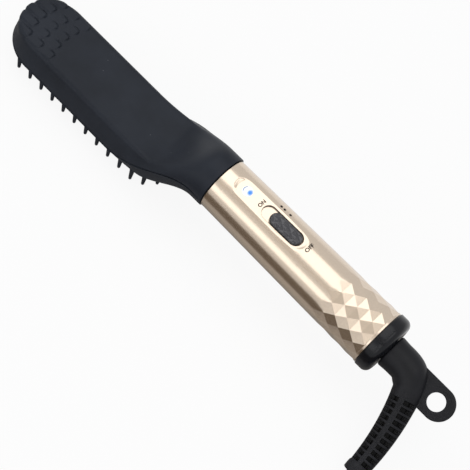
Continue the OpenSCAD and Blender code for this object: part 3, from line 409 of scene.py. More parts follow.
def soft_black(colours, name="soft_black"):
    """Soft-touch paint: near-black with faint cloudiness, a fine egg-shell grain, broad sheen
    and a few pale dust specks."""
    f = Finish(name, colours.soft, Specular_IOR_Level=0.15)
    cloud = f.noise(45.0, 3.0)
    specks = f.node("ShaderNodeTexVoronoi", {}, {"Vector": f.place, "Scale": 150.0})
    dust = (specks < 0.035) * (f.noise(90.0, 1.0) > 0.62)
    base = f.blend(f.ramp(cloud, 0.3, 0.7), tint(colours.soft, 0.85), tint(colours.soft, 1.2))
    f.set(Base_Color=f.blend(dust * 0.5, base, (0.16, 0.17, 0.19)),
          Roughness=f.ramp(f.noise(30.0), 0.0, 1.0) * 0.1 + 0.4)
    return f.bumped(f.noise(2600.0), 0.12, 0.00005)


def gold_lacquer(colours):
    """Champagne lacquer: metallic with a fine flake, a slight warm drift along the handle and
    a thin clear coat. The walls of the switch's pocket get painted shade, a dark colour in
    place of the lacquer."""
    f = Finish("gold_lacquer", colours.gold, metallic=0.9, Coat_Weight=0.25, Coat_Roughness=0.12)
    flake = f.noise(5200.0, 1.0)
    tone = f.blend(f.ramp(f.noise(12.0), 0.35, 0.65), tint(colours.gold, 0.97),
                   tint(colours.gold, 1.03))
    x, y, z = f.axes()
    top = AXIS_Z + PANEL_Z
    # Painted shade: the pocket's walls take a dark colour in place of the lacquer, as the shadowed
    # gap.
    wall = (z < top - 0.1) * (z > top - POCKET_DEPTH + 0.08) * (y * y < POCKET_SHADE_ZONE[2]) \
        * (x > SEAM_X + POCKET_SHADE_ZONE[0]) * (x < SEAM_X + POCKET_SHADE_ZONE[1])
    lacquer = f.blend(f.ramp(flake, 0.35, 0.75), tone, tint(colours.gold, 1.12))
    f.set(Base_Color=f.blend(wall, lacquer, (0.05, 0.04, 0.03)),
          Roughness=f.ramp(flake, 0.2, 0.8) * 0.05 + 0.18)
    return f.bumped(flake, 0.05, 0.00003)


def gloss_black(name="gloss_black"):
    """Polished black plastic with faint handling marks."""
    base = (0.006, 0.0065, 0.0085)
    f = Finish(name, base, Specular_IOR_Level=0.3)
    marks = f.noise(60.0, 4.0, 0.6, (1.0, 3.0, 3.0))
    f.set(Base_Color=f.blend(marks, tint(base, 0.85), tint(base, 1.5)),
          Roughness=f.ramp(marks, 0.35, 0.7) * 0.1 + 0.15)
    return f.bumped(f.noise(900.0), 0.03, 0.00003)


def knob_black(s):
    """The knob: a grey sheen on its knurled top and a dark edge, painted shade for the gap round
    the knob, by the distance from the knob's middle line."""
    f = Finish("knob_black", (0.02, 0.02, 0.026), Specular_IOR_Level=0.8)
    x, y, _ = f.axes()
    half = (s.knob_length - s.knob_width) / 2 / MM
    off = x - (SEAM_X + KNOB_END - s.knob_length / 2 / MM)
    past = (off.maximum(off * -1.0) - half).maximum(0.0)
    # Painted shade: the rim darkens nearly to black, as the shadowed gap round the knob.
    edge = f.ramp((past * past + y * y).power(0.5), s.knob_width / 2 / MM - 0.75,
                  s.knob_width / 2 / MM - 0.45, True)
    grain = f.noise(700.0, 3.0)
    f.set(Base_Color=f.blend(edge, f.blend(grain, (0.018, 0.018, 0.024), (0.045, 0.044, 0.052)),
                             (0.002, 0.002, 0.003)),
          Roughness=grain * 0.1 + 0.2)
    return f.bumped(grain, 0.1, 0.00004)


def rubber_black(colours, name="rubber_black", slots=False):
    """Moulded rubber: dull with a soft bloom and a fine grain. With slots it paints shade down into
    the guard's slots, darker by the mesh's own values of their depth."""
    f = Finish(name, colours.rubber, Specular_IOR_Level=0.2)
    bloom = f.noise(70.0, 3.0)
    base = f.blend(f.ramp(bloom, 0.3, 0.7), tint(colours.rubber, 0.85),
                   tint(colours.rubber, 1.35))
    if slots:
        # Painted shade: the slots darken by how deep each point lies in them.
        hollow = f.node("ShaderNodeAttribute", {"attribute_name": "hollow"}, {}, "Fac")
        base = f.blend(hollow, base, tint(colours.rubber, 0.1))
    f.set(Base_Color=base, Roughness=f.ramp(bloom, 0.2, 0.8) * 0.12 + 0.36)
    return f.bumped(f.noise(1700.0, 3.0), 0.12, 0.00005)


def cord_rubber():
    """The cord's jacket: smooth black with a faint mottle."""
    f = Finish("cord_rubber", (0.014, 0.014, 0.016))
    grain = f.noise(220.0, 3.0)
    f.set(Base_Color=f.blend(grain, (0.010, 0.010, 0.012), (0.022, 0.022, 0.025)),
          Roughness=grain * 0.15 + 0.38)
    return f.bumped(f.noise(1500.0), 0.06, 0.00004)


def plain_finish(name, colour, rough, metallic=0.0, grain=600.0):
    """A moulded or drawn finish: the colour drifts by a fine grain, which is also its bump."""
    f = Finish(name, colour, metallic=metallic)
    g = f.noise(grain, 3.0)
    f.set(Base_Color=f.blend(f.ramp(g, 0.3, 0.7), tint(colour, 0.82), tint(colour, 1.18)),
          Roughness=f.ramp(g, 0.2, 0.8) * 0.14 + rough)
    return f.bumped(g, 0.05, 0.00004)


def brushed_plate():
    """The heated comb: dark ceramic coat over aluminium, brushed across the teeth."""
    f = Finish("ceramic_coat", (0.05, 0.05, 0.055), metallic=0.35)
    lines = f.noise(500.0, 3.0, 0.6, (6.0, 0.3, 6.0))
    f.set(Base_Color=f.blend(lines, (0.035, 0.035, 0.04), (0.075, 0.075, 0.08)),
          Roughness=lines * 0.2 + 0.32)
    return f.bumped(lines, 0.08, 0.00004)


def lens_glow(colours):
    """The lit lens: white, with a blue spot where the lamp stands behind it and a thin grey
    arc at the opposite edge. The blue spot is the lamp's own glow; the white glows as well, a
    painted glare."""
    f = Finish("lens_glow", (0.82, 0.86, 0.92), roughness=0.12, Emission_Strength=0.55,
               Coat_Weight=0.5, Coat_Roughness=0.05)
    x, y, _ = f.axes()
    dx = x - (SEAM_X + LENS_X)
    spot_x, spot_y = dx - 1.5, (y - 0.2) * 0.8
    spot = f.ramp((spot_x * spot_x + spot_y * spot_y).power(0.5), 2.0, 0.5, True)
    reach = (dx * dx + y * y).power(0.5)
    arc = f.ramp(reach, 1.9, 2.15, True) * f.ramp(reach, 2.75, 2.5, True) \
        * f.ramp(dx, -1.2, -1.8, True)
    pale = f.blend(arc, (0.82, 0.86, 0.92), (0.22, 0.28, 0.38))
    # Painted glare: the white and the grey arc glow too, beside the lamp's blue spot.
    f.set(Base_Color=f.blend(spot, pale, (0.01, 0.14, 0.5)),
          Emission_Color=f.blend(spot, pale, tuple(colours.glow)))
    return f.bumped(f.noise(700.0, 1.0), 0.02, 0.00002)


def ink():
    """Dark printing ink, slightly worn."""
    base = (0.012, 0.010, 0.009)
    f = Finish("ink", base, Specular_IOR_Level=0.05)
    wear = f.noise(1800.0)
    f.set(Base_Color=f.blend(f.ramp(wear, 0.5, 0.8), base, (0.03, 0.025, 0.022)),
          Roughness=wear * 0.2 + 0.5)
    return f.material


# ---- Head ----
# Lengths in millimetres. Shares, such as FLANK_END, run from 0 at the parting line to 1 on the
# centre line. A row of pads has its rear end from the nose's tip, length, height and climb.
NOSE_LEN, NOSE_LEAN, NOSE_POWER = 21.2, 2.2, 2.1
NECK_START, NECK_TOP, NECK_BELLY, NECK_SIDE = 6.0, 31.0, 32.0, 36.0
PART_START, PART_LEN = 9.0, 51.0
TOP_DROP, RIM_DROP, DECK_DROP, SHOULDER = 10.2, 24.9, 26.4, 3.2
TOP_CROWN, DECK_INSET = 0.15, 0.9
HEAD_WALL, LEDGE, NECK_LEDGE, LEDGE_SHARE = 1.8, 0.45, 0.25, 0.09
LEDGE_EASE, LEDGE_MID, LEDGE_SPREAD = 8, -30, 14
FLANK_END, SHOULDER_END, EDGE_END = 0.4, 0.62, 0.35
NOSE_SQUEEZE = 0.12
PAD_ROWS = ((10.8, 26.0, 0.85, 0.0), (19.7, 5.4, 0.6, 0.8), (28.3, 5.4, 0.6, 0.8))
PAD_HALF, PAD_PITCH, PAD_BOW, PAD_ROUND = 2.4, 6.5, 0.017, 1.0
GROOVE_DEPTH, GROOVE_OUT, GROOVE_WIDTH = 0.6, 0.35, 0.36
PAD_SIDE, PAD_SIDE_FADE, PAD_FOOT, PAD_FOOT_FADE = 17.6, 3.0, 1.5, 5.0
PADS_END, NECK_FROM = -110.0, -62.0
WINDOW_INSET, WINDOW_HALF, NARROW_SHARE = 3.8, 12.5, 0.6037
FLANK_CELLS, DECK_CELLS = 26, 13


def head_skin(s, x, t, sign, side, k):
    """A head shell's skin at stations x and heights t, from 0 at the parting line to 1 on the
    centre line, k inside the outer skin. Each section blends a quarter circle, the collar,
    into a straight flank, a rounded shoulder and a slightly crowned top, or on the underside
    into a low edge and a flat deck. The blend runs along the neck in S-curves, and the nose
    draws each section in along a superellipse. The upper skin steps in at the parting line, so
    that the lower shell shows there as a fine ledge."""
    x, t = x[:, None], t if t.ndim == 2 else t[None, :]
    sign = sign[None, :]
    r = s.collar / MM / 2 - k
    bend = np.sin(t * math.pi / 2)
    ring_y, ring_z = r * np.cos(t * math.pi / 2), side * r * bend
    w, top = s.width / MM / 2 - k, s.top_width / MM / 2 - k
    if side > 0:
        d = unit(np.array([w - top, TOP_DROP + k - RIM_DROP]))
        ax, az = top + d[0] * SHOULDER, -TOP_DROP - k + d[1] * SHOULDER
        bx, bz = top - SHOULDER, -TOP_DROP - k - TOP_CROWN
        u, v = t / FLANK_END, (t - FLANK_END) / (SHOULDER_END - FLANK_END)
        q = (t - SHOULDER_END) / (1 - SHOULDER_END)
        c0, c1, c2 = (1 - v) ** 2, 2 * v * (1 - v), v * v
        flat_y = np.where(t < FLANK_END, mix(w, ax, u), np.where(
            t < SHOULDER_END, c0 * ax + c1 * top + c2 * bx, bx * (1 - q)))
        flat_z = np.where(t < FLANK_END, mix(-RIM_DROP, az, u), np.where(
            t < SHOULDER_END, c0 * az + c1 * (-TOP_DROP - k) + c2 * bz,
            mix(bz, -TOP_DROP - k, np.sin(q * math.pi / 2))))
    else:
        cy, cz = w - DECK_INSET, -DECK_DROP + k
        q = (t - EDGE_END) / (1 - EDGE_END)
        flat_y = np.where(t < EDGE_END, mix(w, cy, t / EDGE_END), cy * (1 - q))
        flat_z = np.where(t < EDGE_END, mix(-RIM_DROP, cz, t / EDGE_END), cz)
    s_part = smooth((-x - PART_START) / PART_LEN)
    s_mid = smooth((-x - NECK_START) / (NECK_TOP if side > 0 else NECK_BELLY))
    s_side = smooth((-x - NECK_START) / NECK_SIDE)
    z = mix(ring_z, flat_z, mix(s_part, s_mid, bend))
    y = mix(ring_y, flat_y, mix(s_side, s_mid, bend))
    if side > 0 and k == 0:
        ledge = LEDGE * smooth(-x / LEDGE_EASE) \
            + NECK_LEDGE * np.exp(-((x - LEDGE_MID) / LEDGE_SPREAD) ** 2)
        y = y - ledge * smooth(1 - t / LEDGE_SHARE)
    n = np.clip((-x - (s.length / MM - NOSE_LEN)) / (NOSE_LEN - k), 0, 1)
    taper = np.where(n > 0.9999, 0, np.clip(1 - n ** NOSE_POWER, 0, 1) ** (1 / NOSE_POWER))
    rise = 0 * z
    if side > 0:
        rise = (z + RIM_DROP) / (RIM_DROP - TOP_DROP)
        z = z - (z + RIM_DROP) * NOSE_SQUEEZE * n ** 8
    return np.stack([x - NOSE_LEAN * n * n * (1 - rise), sign * y * taper, z], -1)


def skin_normals(p):
    """Unit normals of a grid of points, from the cross product of its two gradients."""
    n = np.cross(np.gradient(p, axis=0), np.gradient(p, axis=1))
    length = np.linalg.norm(n, axis=-1, keepdims=True)
    return np.where(length > 1e-9, n / np.maximum(length, 1e-9), 0)


def pad_height(x, y, z, s):
    """Height of the grip pads over the nose, as a share of their rise. A pad is a rounded
    rectangle, by its distance field: a plateau that climbs towards the handle and fades out
    forwards, with a fine groove along its far side that hooks round the corner. The rows bow
    forwards in the middle as the nose does, and the front row runs over the nose's edge."""
    front = -s.length / MM
    total = np.zeros_like(x)
    for end, long, tall, climb in PAD_ROWS:
        for n in range(-2, 3):
            half_x, y_mid = long / 2, PAD_PITCH * n
            dx, dy = x - (front + end + PAD_BOW * y_mid ** 2 - half_x), y - y_mid
            outside = np.hypot(np.maximum(np.abs(dx) - half_x + PAD_ROUND, 0),
                               np.maximum(np.abs(dy) - PAD_HALF + PAD_ROUND, 0)) - PAD_ROUND
            far = smooth(0.5 + (dx - half_x + 2.2) / 4.0 + dy / 4.0)
            plateau = smooth(0.5 - outside / (1.8 - 1.2 * far)) \
                * (1 - climb * np.clip((half_x - dx) / long, 0, 1))
            hooked = smooth((dx - half_x + 4.6) / 1.6) * smooth((dy + 0.9) / 1.6)
            groove = np.exp(-((outside - GROOVE_OUT) / GROOVE_WIDTH) ** 2) * hooked
            total = total + tall * plateau - GROOVE_DEPTH * groove
    foot_fade = smooth(1 - (-TOP_DROP - PAD_FOOT - z) / PAD_FOOT_FADE)
    return total * foot_fade * smooth((PAD_SIDE - np.abs(y)) / PAD_SIDE_FADE)


def head_stations(s, k=0.0):
    """Stations along the head: close together over the nose, then even steps, closer again
    along the neck."""
    nose = s.length / MM - NOSE_LEN
    a = np.linspace(0, math.pi / 2, 64, endpoint=False)
    tip = -nose - (NOSE_LEN - k) * np.cos(a)
    fine = np.arange(-nose, PADS_END, 0.35)
    body = np.linspace(PADS_END, NECK_FROM, 34, endpoint=False)
    neck = np.linspace(NECK_FROM, -SEAM_GAP / 2, 86)
    return np.concatenate([tip, fine, body, neck])


def both_sides(t):
    """Columns from the near parting line over the middle to the far one, and their signs."""
    return np.concatenate([t, t[-2::-1]]), np.concatenate(
        [np.full(len(t), -1.0), np.full(len(t) - 1, 1.0)])


def build_head_cover(s, material):
    """The upper head shell: outer skin with grip pads, inner skin, parting edges, collar."""
    t = np.concatenate([np.linspace(0, FLANK_END, 14, endpoint=False),
                        np.linspace(FLANK_END, SHOULDER_END, 18, endpoint=False),
                        np.linspace(SHOULDER_END, 1, 52)])
    t, sign = both_sides(t)
    outer = head_skin(s, head_stations(s), t, sign, 1, 0.0)
    inner = head_skin(s, head_stations(s, HEAD_WALL), t, sign, 1, HEAD_WALL)
    normal = skin_normals(outer)
    normal *= np.where(normal[:, len(t) // 2, 2].mean() > 0, 1, -1)
    rise = pad_height(outer[..., 0], outer[..., 1], outer[..., 2], s) * s.pad_rise / MM
    outer = outer + normal * rise[..., None]
    keep = np.ones((outer.shape[0] - 1, outer.shape[1] - 1), bool)
    return make_piece("head_cover_shell", [sheet(outer), sheet(inner),
                                           edge_walls(outer, inner, keep, open_rows=(0,))],
                      material, "comb", ["head_cover"], sharp=50)


def build_head_base(s, material):
    """The lower head shell with the long window that the heated comb stands in. Columns are
    drawn together so that one of them runs along the window's edge."""
    window = (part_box("heat_comb")[0].x / MM - SEAM_X + WINDOW_INSET,
              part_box("heat_comb")[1].x / MM - SEAM_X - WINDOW_INSET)
    x = np.unique(np.round(np.concatenate([head_stations(s), window]), 4))
    fine = np.linspace(0, 1, 400)
    probe = head_skin(s, x, fine, np.ones(400), -1, 0.0)[..., 1]
    cut = np.array([np.interp(WINDOW_HALF, row[::-1], fine[::-1])
                    if row.max() > WINDOW_HALF + 1 else NARROW_SHARE for row in probe])[:, None]
    t = np.concatenate([cut * np.linspace(0, 1, FLANK_CELLS + 1)[:-1],
                        cut + (1 - cut) * np.linspace(0, 1, DECK_CELLS + 1)], 1)
    _, sign = both_sides(t[0])
    t = np.concatenate([t, t[:, -2::-1]], 1)
    outer = head_skin(s, x, t, sign, -1, 0.0)
    nose = s.length / MM - NOSE_LEN
    shrunk = np.where(x < -nose, -nose + (x + nose) * (NOSE_LEN - HEAD_WALL) / NOSE_LEN, x)
    inner = head_skin(s, shrunk, t, sign, -1, HEAD_WALL)
    mid = (x[:-1] + x[1:]) / 2
    inside = (mid > window[0]) & (mid < window[1])
    keep = np.ones((len(x) - 1, len(sign) - 1), bool)
    keep[np.ix_(inside, FLANK_CELLS + np.arange(2 * DECK_CELLS))] = False
    return make_piece("head_base_shell", [sheet(outer, keep=keep), sheet(inner, keep=keep),
                                          edge_walls(outer, inner, keep, open_rows=(0,))],
                      material, "comb", ["head_base"], sharp=50)


# ---- Handle ----
# PANEL is the sunken panel's front end, length and width. PATCH is the stretch of the skin's
# grid that it takes the place of, PATCH_HALF its half width in cells. POCKET_SHADE_ZONE bounds
# the painted shade on the pocket walls: first and last station, and the square of the half width.
RIM_LEN, FACET_STEP, HANDLE_WALL = 1.3, 5.2, 2.0
PANEL = (8.3, 46.5, 11.1)
PANEL_Z, POCKET_DEPTH, ROOF_DROP = 14.4, 1.2, 2.35
DECK_RISE, DECK_FROM, DECK_LEN = 0.5, 38.0, 15.0
RIM_SHIFT, RIM_LONG, RIM_OUT, RIM_ROLL = 0.1, 0.7, 1.0, 1.9
POCKET_SHADE_ZONE = (24.0, 55.0, 19.0)
PATCH, PATCH_STEP, PATCH_HALF = (5.0, 59.0), 0.5, 13
KNOB_END, TRAVEL, KNOB_GAP = 52.85, 5.2, 0.25
FINE = 8  # cells along a facet's edge


def handle_radius(s, x):
    """The handle tapers evenly from its front to its rear radius."""
    return (s.front + (s.rear - s.front) * x / (s.length / MM)) / MM / 2


def on_handle(s, x, a):
    """A point of the handle's round skin at station x and angle a from the top."""
    return about_axis(x, handle_radius(s, x), a)


def facet_soup(s):
    """The diamond grip: rings of corners, each turned half a facet from the last, joined by
    flat triangles. In the first band the triangles that open forwards stay round and only
    dip to the facets at their two slanted edges. Returns flat and round triangles."""
    count, bands = s.facets, s.bands
    x0 = s.length / MM - RIM_LEN - FACET_STEP * bands
    c, n = np.meshgrid(np.arange(bands + 1), np.arange(count), indexing="ij")
    corner = on_handle(s, x0 + c * FACET_STEP, (2 * n + c % 2) * math.pi / count)
    at = lambda i, j: corner[i, j % count]
    c, n = np.meshgrid(np.arange(bands), np.arange(count), indexing="ij")
    odd = c % 2
    front = np.stack([at(c, n), at(c, n + 1), at(c + 1, n + odd)], -2)
    rear = np.stack([at(c, n + 1), at(c + 1, n + 1 + odd), at(c + 1, n + odd)], -2)
    flat = np.concatenate([front[1:].reshape(-1, 3, 3), rear.reshape(-1, 3, 3)])
    q, i = np.meshgrid(np.arange(FINE + 1), np.arange(FINE + 1), indexing="ij")
    i = np.minimum(i, FINE - q)
    step = 2 * math.pi / count / FINE
    angle = step * (q / 2 + i)
    x = x0 + FACET_STEP * q / FINE
    edge = np.minimum(i, FINE - q - i)
    start, tip = on_handle(s, np.array(x0), np.array(0.0)), on_handle(
        s, np.array(x0 + FACET_STEP), np.array(math.pi / count))
    chord = mix(start[None, None], tip[None, None], (q / FINE)[..., None])
    dip = handle_radius(s, x) - np.hypot(chord[..., 1], chord[..., 2])
    radius = handle_radius(s, x) - dip * np.exp(-1.2 * edge)
    a = angle + 2 * math.pi * np.arange(count)[:, None, None] / count
    g = about_axis(x, radius, a)
    one = np.stack([g[:, :-1, :-1], g[:, :-1, 1:], g[:, 1:, :-1]], -2)
    two = np.stack([g[:, :-1, 1:], g[:, 1:, 1:], g[:, 1:, :-1]], -2)
    curved = np.concatenate([one.reshape(-1, 3, 3), two.reshape(-1, 3, 3)])
    area = np.linalg.norm(np.cross(curved[:, 1] - curved[:, 0], curved[:, 2] - curved[:, 0]),
                          axis=1)
    curved = curved[area > 1e-6]
    as_soup = lambda t: (t.reshape(-1, 3), np.arange(len(t) * 3).reshape(-1, 3))
    return as_soup(flat), as_soup(curved)


def panel_patch(s, knob, xs, th, cols):
    """The sunken panel: rings of points that start on the grid's own rectangle, close in on
    the panel's outline, roll over its soft edge, cross its floor to the pocket's outline and
    go down to the pocket's floor, which closes on its middle line. The panel's floor is level
    and rises in an S-curve towards its rear end."""
    xa, xb = xs[0], xs[-1]
    ta = th[cols[0]:cols[1] + 1]
    r_of = lambda x: handle_radius(s, x)
    one = np.stack([np.full(len(ta) - 1, xa), r_of(xa) * np.sin(ta[:-1])], 1)
    two = np.stack([xs[:-1], r_of(xs[:-1]) * math.sin(ta[-1])], 1)
    three = np.stack([np.full(len(ta) - 1, xb), r_of(xb) * np.sin(ta[:0:-1])], 1)
    four = np.stack([xs[:0:-1], r_of(xs[:0:-1]) * math.sin(ta[0])], 1)
    loop = np.concatenate([one, two, three, four])
    count = (len(ta) - 1, len(xs) - 1)
    cx, half, r = PANEL[0] + PANEL[1] / 2, (PANEL[1] - PANEL[2]) / 2, PANEL[2] / 2
    klen, kw = knob.knob_length / MM, knob.knob_width / MM
    px, pr = KNOB_END - klen / 2 - TRAVEL / 2, kw / 2 + KNOB_GAP
    phalf = (klen + TRAVEL - kw) / 2
    skin = lambda p: np.sqrt(np.maximum(r_of(p[:, 0]) ** 2 - p[:, 1] ** 2, 0))
    deck = lambda q: PANEL_Z + DECK_RISE * smooth((q[:, 0] - DECK_FROM) / DECK_LEN)
    rim = stadium(cx + RIM_SHIFT, half + RIM_LONG, r + RIM_OUT, count)
    rows = [with_z(loop, skin(loop))]
    rows += [with_z(q, skin(q)) for q in (mix(loop, rim, f) for f in (0.3, 0.6, 0.85, 1.0))]
    for f in (0.12, 0.3, 0.5, 0.7, 0.88, 1.0):
        q = stadium(cx + RIM_SHIFT * (1 - f), half + RIM_LONG * (1 - f),
                    r + RIM_OUT - RIM_ROLL * f, count)
        rows.append(with_z(q, mix(skin(q), deck(q), smooth(f))))
    floor, mouth = rows[-1][:, :2], stadium(px, phalf, pr + 0.35, count)
    rows += [with_z(q, deck(q)) for q in (mix(floor, mouth, f) for f in (0.33, 0.66, 1.0))]
    for grow, drop in ((0.16, 0.03), (0.05, 0.12), (0.0, 0.3), (0.0, 1.0), (-0.15, 1.2)):
        q = stadium(px, phalf, pr + grow, count)
        rows.append(with_z(q, mix(deck(q), PANEL_Z, drop / POCKET_DEPTH) - drop))
    for f in (0.6, 0.2, 0.002):
        rows.append(with_z(stadium(px, phalf, pr * f, count), PANEL_Z - POCKET_DEPTH))
    return np.stack(rows)


def handle_shell(s, knob, side):
    """One half of the handle in its own upright place: round skin, sunken panel on the top
    half, diamond grip, rear rim, inner skin, flattened under the panel, and the edges that
    close it."""
    length = s.length / MM
    x0 = length - RIM_LEN - FACET_STEP * s.bands
    th = np.linspace(-math.pi / 2, math.pi / 2, s.facets // 2 * FINE + 1)
    lead = np.array([0.0, 0.1, 0.25, 0.55]) + SEAM_GAP / 2
    easing = np.array([0.28, 0.1, 0.02, 0.0])
    rect = np.arange(PATCH[0], PATCH[1] + 0.01, PATCH_STEP)
    run_in = np.linspace(1.2, PATCH[0], 4, endpoint=False)
    xs = np.concatenate([lead, run_in, rect, np.linspace(60, x0, 20)])
    skin = on_handle(s, xs[:, None], th[None, :])
    skin[:4, :, 1:] *= (1 - easing / handle_radius(s, lead))[:, None, None]
    keep = np.ones((len(xs) - 1, len(th) - 1), bool)
    parts = []
    if side > 0:
        first, mid = len(lead) + len(run_in), (len(th) - 1) // 2
        cols = (mid - PATCH_HALF, mid + PATCH_HALF)
        keep[first:first + len(rect) - 1, cols[0]:cols[1]] = False
        parts.append(sheet(panel_patch(s, knob, rect, th, cols), around=True))
    parts.append(sheet(skin, keep=keep))
    flat, curved = facet_soup(s)
    parts += [above_plane(*curved), above_plane(*flat)]
    flat_part = len(parts) - 1
    rim_x = length - RIM_LEN
    rim = on_handle(s, np.array([rim_x, rim_x + 0.15, length - 0.15, length])[:, None],
                    th[None, :])
    rim[[0, 3], :, 1:] *= 1 - 0.12 / handle_radius(s, length)
    span = 2 * math.pi / s.facets
    phase = (np.abs(th) % span) - span / 2
    chord = handle_radius(s, rim_x) * math.cos(span / 2) / np.cos(phase)
    parts += [strip(about_axis(rim_x, chord, th), rim[0]), sheet(rim)]
    every = np.concatenate([p for p, _ in parts])
    edge = every[(np.abs(every[:, 2]) < 1e-6) & (every[:, 1] > 0)]
    edge = edge[np.argsort(edge[:, 0])]
    ex = np.unique(np.round(edge[:, 0], 4))
    out_y = np.interp(ex, edge[:, 0], edge[:, 1])
    inside = about_axis(ex[:, None], (handle_radius(s, ex) - HANDLE_WALL)[:, None], th)
    inside[..., 2] = np.minimum(inside[..., 2], PANEL_Z - ROOF_DROP)
    parts.append(sheet(inside))
    parts += [strip(np.stack([ex, sign * out_y, 0 * ex], 1), inside[:, col])
              for sign, col in ((1, -1), (-1, 0))]
    parts += [strip(skin[0], inside[0]), strip(rim[-1], inside[-1])]
    if side < 0:
        parts = [(p * np.array([1, -1, -1]), f) for p, f in parts]
    return parts, flat_part


# ---- Switch, lamp and marks ----
KNOB_TOP, KNOB_CROWN, KNOB_BOW, KNURL_SUNK = 16.0, 9.0, 0.0016, 0.4
KNURL_PITCH = (6.4, 3.9)
LENS_X, LENS_R, LENS_FLANGE, LENS_PIPE = 14.9, 2.9, 3.8, 1.6
INK_LIFT, DOT_LIFT = 0.03, 0.02
ON_SPAN, OFF_SPAN = ((23.3, 25.5), (-1.75, 3.05)), ((56.3, 58.5), (-1.9, 4.1))
DOTS_X, DOTS_Y, DOT_RINGS = (32.0, 34.3, 38.3), 7.7, (0.72, 0.3, TINY)


def build_knob(s, material):
    """The slider knob: rings of a stadium close in on its middle line. Their height follows a
    round crest, falls off at the edge and carries a diamond knurl, the lower of two crossed
    triangle waves."""
    klen, w = s.knob_length / MM, s.knob_width / MM
    cx, half, r = KNOB_END - klen / 2, (klen - w) / 2, w / 2
    floor = PANEL_Z - POCKET_DEPTH + 0.15
    count = (60, 150)
    f = np.concatenate([[1.0, 1.0, 0.995, 0.98, 0.955], np.linspace(0.92, 0.02, 34), [0.002]])
    rings = np.stack([stadium(cx, half, r * q, count) for q in f])
    x, y = rings[..., 0], rings[..., 1]
    crest = KNOB_TOP - KNOB_CROWN + np.sqrt(KNOB_CROWN ** 2 - y ** 2) - KNOB_BOW * (x - cx) ** 2
    along, across = (x - cx) / KNURL_PITCH[0], y / KNURL_PITCH[1]
    wave = lambda t: 1 - np.abs(2 * (t - np.floor(t)) - 1)
    knurl = np.minimum(wave(along + across + 0.5), wave(along - across + 0.5))
    knurl = knurl * smooth((0.95 - f) / 0.12)[:, None]
    edge = floor + np.array([1.1, 1.35, 1.5, 1.58])[:, None]
    z = crest - KNURL_SUNK + knurl * s.knurl / MM
    z[0], z[1:5] = floor, np.minimum(z[1:5], edge)
    points = np.concatenate([rings, z[..., None]], -1)
    base = with_z(np.repeat(rings[:1].mean(1, keepdims=True), rings.shape[1], 1), floor)
    stem = stem_block(cx, floor)
    return make_piece("slider_knob_knurled", [sheet(points, around=True),
                                              strip(points[0], base[0], closed=True), stem],
                      material, "slider", ["slider_knob"], sharp=38)


def stem_block(cx, top):
    """The knob's stem: a square ring carried down to the switch's carriage and closed."""
    lo, hx, hy = 7.1, 3.0, 1.5
    ring = np.array([[cx - hx, -hy], [cx + hx, -hy], [cx + hx, hy], [cx - hx, hy]])
    mid = np.full((4, 2), [cx, 0.0])
    rows = [with_z(mid, lo), with_z(ring, lo), with_z(ring, top + 0.3), with_z(mid, top + 0.3)]
    return sheet(np.stack(rows), around=True)


def build_lens(material):
    """The lamp's lens: a low dome turned about its own axis, with its flange and light pipe."""
    dome = [[TINY, 0.32], [0.8, 0.31], [1.5, 0.27], [2.2, 0.19], [2.6, 0.12], [2.8, 0.06],
            [LENS_R, -0.03]]
    profile = np.array([[r, PANEL_Z + z] for r, z in dome] + [
        [LENS_R, 12.0], [LENS_FLANGE, 12.0], [LENS_FLANGE, 11.2], [LENS_PIPE, 11.2],
        [LENS_PIPE, 6.8], [TINY, 6.8]])
    a, rr, z = circle(64), profile[:, :1], profile[:, 1:]
    points = np.stack(np.broadcast_arrays(LENS_X + rr * np.cos(a), rr * np.sin(a), z), -1)
    return make_piece("lamp_lens_dome", [sheet(points, around=True)], material, "comb",
                      ["lamp_lens"], sharp=35)


def written(text, x_span, y_span, lift):
    """A word as flat triangles: it reads along +y with its letters' tops towards -x, and is
    stretched to the span that it fills. lift gives the height at each point."""
    curve = bpy.data.curves.new(text, "FONT")
    curve.body, curve.resolution_u, curve.offset = text, 4, 0.03
    word = new_object(text, curve)
    bpy.context.view_layer.update()
    mesh = bpy.data.meshes.new_from_object(
        word.evaluated_get(bpy.context.evaluated_depsgraph_get()))
    bm = bmesh.new()
    bm.from_mesh(mesh)
    bmesh.ops.triangulate(bm, faces=bm.faces)
    bm.to_mesh(mesh)
    bm.free()
    co = np.zeros(len(mesh.vertices) * 3)
    mesh.vertices.foreach_get("co", co)
    tri = np.zeros(len(mesh.polygons) * 3, int)
    mesh.polygons.foreach_get("vertices", tri)
    bpy.data.objects.remove(word)
    bpy.data.curves.remove(curve)
    bpy.data.meshes.remove(mesh)
    co, tri = co.reshape(-1, 3), tri.reshape(-1, 3)
    low, high = co.min(0), co.max(0)
    u, v = (co[:, 0] - low[0]) / (high[0] - low[0]), (co[:, 1] - low[1]) / (high[1] - low[1])
    x, y = mix(x_span[1], x_span[0], v), mix(y_span[0], y_span[1], u)
    return np.stack([x, y, lift(x, y)], 1), tri


def build_marks(s, material):
    """ON beside the pocket on the panel's floor, OFF behind it on the round skin, and three
    small dots beside the switch, each a thin layer of ink."""
    skin = lambda x, y: np.sqrt(handle_radius(s, x) ** 2 - y ** 2) + INK_LIFT
    parts = [written("ON", *ON_SPAN, lambda x, y: 0 * x + PANEL_Z + INK_LIFT),
             written("OFF", *OFF_SPAN, skin)]
    a, rr = circle(24), np.array(DOT_RINGS)[:, None]
    for x in DOTS_X:
        xx, yy = x + rr * np.cos(a), DOTS_Y + rr * np.sin(a)
        parts.append(sheet(np.stack([xx, yy, skin(xx, yy) + DOT_LIFT], -1), around=True))
    return make_piece("printed_marks", parts, material, "comb", sharp=60)


